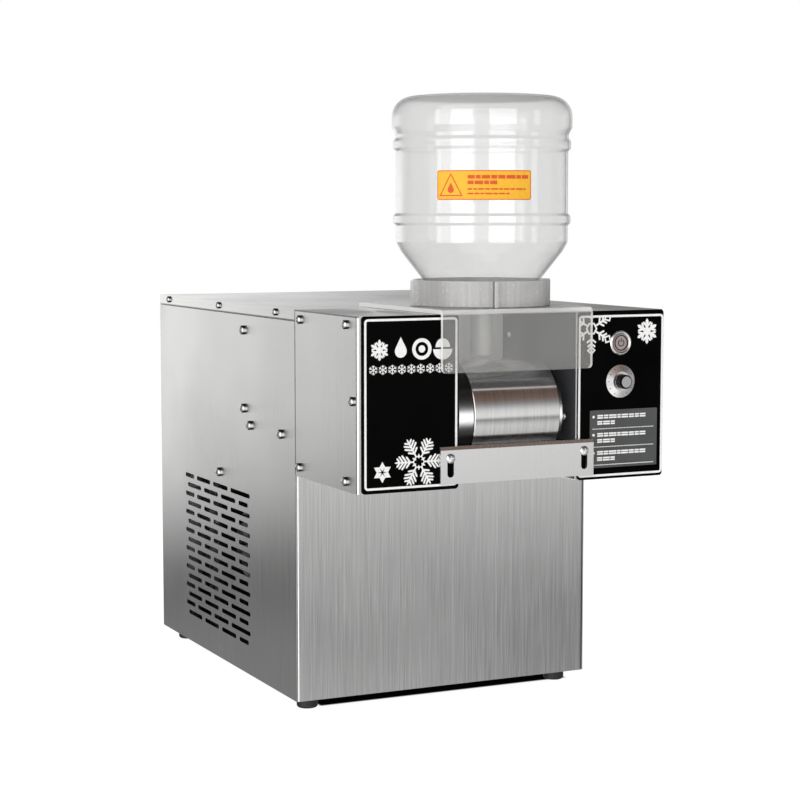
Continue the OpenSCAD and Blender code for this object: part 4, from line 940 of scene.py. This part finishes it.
def add_world():
    """Studio round the object: a lit wall behind it and one in front, over darker floor lines, under a dim
    ceiling. Levels go by the angle over the horizon and by the bearing from +Y towards +X, in degrees."""
    world = bpy.data.worlds.new("studio")
    world.use_nodes = True
    bpy.context.scene.world = world
    s = Shader(world.node_tree)
    x, y, z = s.split(s.add("TexCoord").outputs["Generated"])
    elevation = s.math("DEGREES", s.math("ARCSINE", z))
    bearing = s.math("DEGREES", s.math("ARCTAN2", x, y))

    def by_height(angle, stops):
        return s.ramp(s.remap(angle, -90, 90), [((e + 90) / 180, level) for e, level in stops])

    def by_bearing(stops):
        return s.ramp(s.remap(bearing, -180, 180), [((b + 180) / 360, level) for b, level in stops])

    # the wall behind leans a little, so that its lower edge rises towards the left
    leaning = s.math("ADD", elevation, s.remap(bearing, -32, -16, -2.9, 0.6))
    wall = by_height(leaning, [(-10.5, 0.0), (-9.3, 0.22), (-8.2, 0.58), (-7.0, 0.84), (-5, 0.97), (1.5, 1.0),
                               (6, 0.4), (12, 0.15), (30, 0.0)])
    wall_reach = by_bearing([(-36, 0.0), (-27, 0.13), (-12, 0.8), (10, 0.8), (20, 0.46), (26, 0.2),
                             (33, 0.05), (45, 0.0)])
    wall = s.product(s.product(wall, wall_reach), (2.38, 2.38, 2.37))
    dim = by_height(elevation, [(-90, 0.3), (-14, 0.26), (-11.6, 0.25), (-10.5, 0.08), (-9.4, 0.16), (0, 0.2),
                                (30, 0.28), (90, 0.3)])
    behind = s.total(wall, dim)

    front_wall = by_height(elevation, [(-11, 0.0), (-9.8, 0.42), (-8, 0.92), (-6, 1.2), (6, 1.0), (12, 0.66),
                                       (19, 0.3), (25, 0.0)])
    front_reach = by_bearing([(-180, 0.85), (-165, 1.1), (-150, 1.1), (-140, 0.6), (90, 0.4), (144, 0.55),
                              (150, 0.74), (153.5, 0.98), (157, 0.9), (166, 0.75), (180, 0.85)])
    front_dim = by_height(elevation, [
        (-90, 0.7), (-47, 0.75), (-38, 1.0), (-23, 0.95), (-16, 0.62), (-13, 0.4), (-11.6, 0.32),
        (-9.8, 0.18), (-8, 0.0), (18, 0.0), (25, (0.25, 0.175, 0.145)), (41, (0.2, 0.135, 0.108)),
        (44, (0.235, 0.17, 0.142)), (47, (0.17, 0.13, 0.115)), (54, (0.1, 0.1, 0.105)),
        (60, (0.06, 0.09, 0.125)), (70, (0.1, 0.12, 0.15)), (80, 0.2)])
    floor_reach = by_bearing([(-150, 1.2), (-60, 0.6), (130, 0.45), (148, 0.5), (151, 0.8), (154, 1.05),
                              (158, 1.25), (166, 1.3)])
    ahead = s.total(s.product(front_wall, front_reach), s.product(front_dim, floor_reach))

    side_box = s.product(by_height(elevation, [(-24, 0.0), (-16, 1.0), (32, 1.0), (42, 0.0)]),
                         by_bearing([(-148, 0.0), (-138, 1.0), (-98, 1.0), (-86, 0.0)]))
    sky = s.mix(s.remap(y, 0.35, -0.35), behind, ahead)
    sky = s.total(sky, s.product(side_box, (1.8, 1.8, 1.8)))
    seen = s.add("LightPath").outputs["Is Camera Ray"]
    s.set(world.node_tree.nodes["Background"].inputs["Color"], s.mix(seen, sky, (1, 1, 1)))


def add_light(name, location, aim, size, power, only=None):
    """Rectangular area light in watts; given some nodes, it lights only them."""
    data = bpy.data.lights.new(name, "AREA")
    data.shape = "RECTANGLE"
    data.size, data.size_y = size
    data.energy = power
    light = bpy.data.objects.new(name, data)
    light.location = location
    light.rotation_euler = (Vector(aim) - Vector(location)).to_track_quat("-Z", "Y").to_euler()
    bpy.context.scene.collection.objects.link(light)
    if only:
        lit = bpy.data.collections.new(name + "_lights")
        for node in only:
            lit.objects.link(frame["nodes"][node])
        light.light_linking.receiver_collection = lit
    return light


def add_lights():
    """Two softboxes over the whole, and some lights that only one piece or a few of them mirror."""
    middle = (0.0, 0.0, 0.25)
    for name, spot, size, power in (("top_softbox", (-0.4, -0.3, 2.4), 2.2, 50),
                                    ("fill_softbox", (-0.9, -2.6, 1.3), 1.6, 11)):
        add_light(name, spot, middle, (size, size), power).visible_glossy = False
    # upright reflections on the bottle, from bearings round its front
    bottle_middle, reach, strip_z, strip_h = (0.0, -0.178, 0.46), 3.0, 0.75, 1.5
    for name, bearing, width, power in (("left_strip", -53, 1.5, 14),
                                        ("right_strip", -1, 1.9, 22),
                                        ("far_left_strip", -86, 0.35, 2.4),
                                        ("far_right_strip", 46, 0.5, 2.6)):
        a = math.radians(bearing)
        spot = (reach * math.sin(a), bottle_middle[1] - reach * math.cos(a), strip_z)
        add_light(name, spot, bottle_middle, (width, strip_h), power, ["bottle"])
    # reflections in the drum bay: on its black ends, and on the screw that shows
    bay = ["drum_left_cap", "drum_right_cap", "left_drum_wall", "right_drum_wall", "drum_wall_screws"]
    add_light("bay_strip", (0.675, -1.547, 0.117), (-0.045, -0.24, 0.269), (0.8, 0.6), 60, bay)
    add_light("screw_glint", (-0.6, -1.5, 0.6), (0.06, -0.22, 0.264), (0.3, 0.3), 40, ["drum_wall_screws"])


paint_frame()
round_edges(("top_cover", "front_panel"), 0.5)
round_edges(("left_side_panel", "right_side_panel"), 0.1)
round_edges(("left_head_cover", "right_head_cover"), 0.8)
round_edges(("splash_guard", "bottle_collar"), 0.5)
print_left_fascia()
print_right_fascia()
print_instruction_plate()
print_controls()
label_bottle()
add_camera()
add_floor()
add_world()
add_lights()
bpy.context.scene.view_settings.view_transform = "Standard"
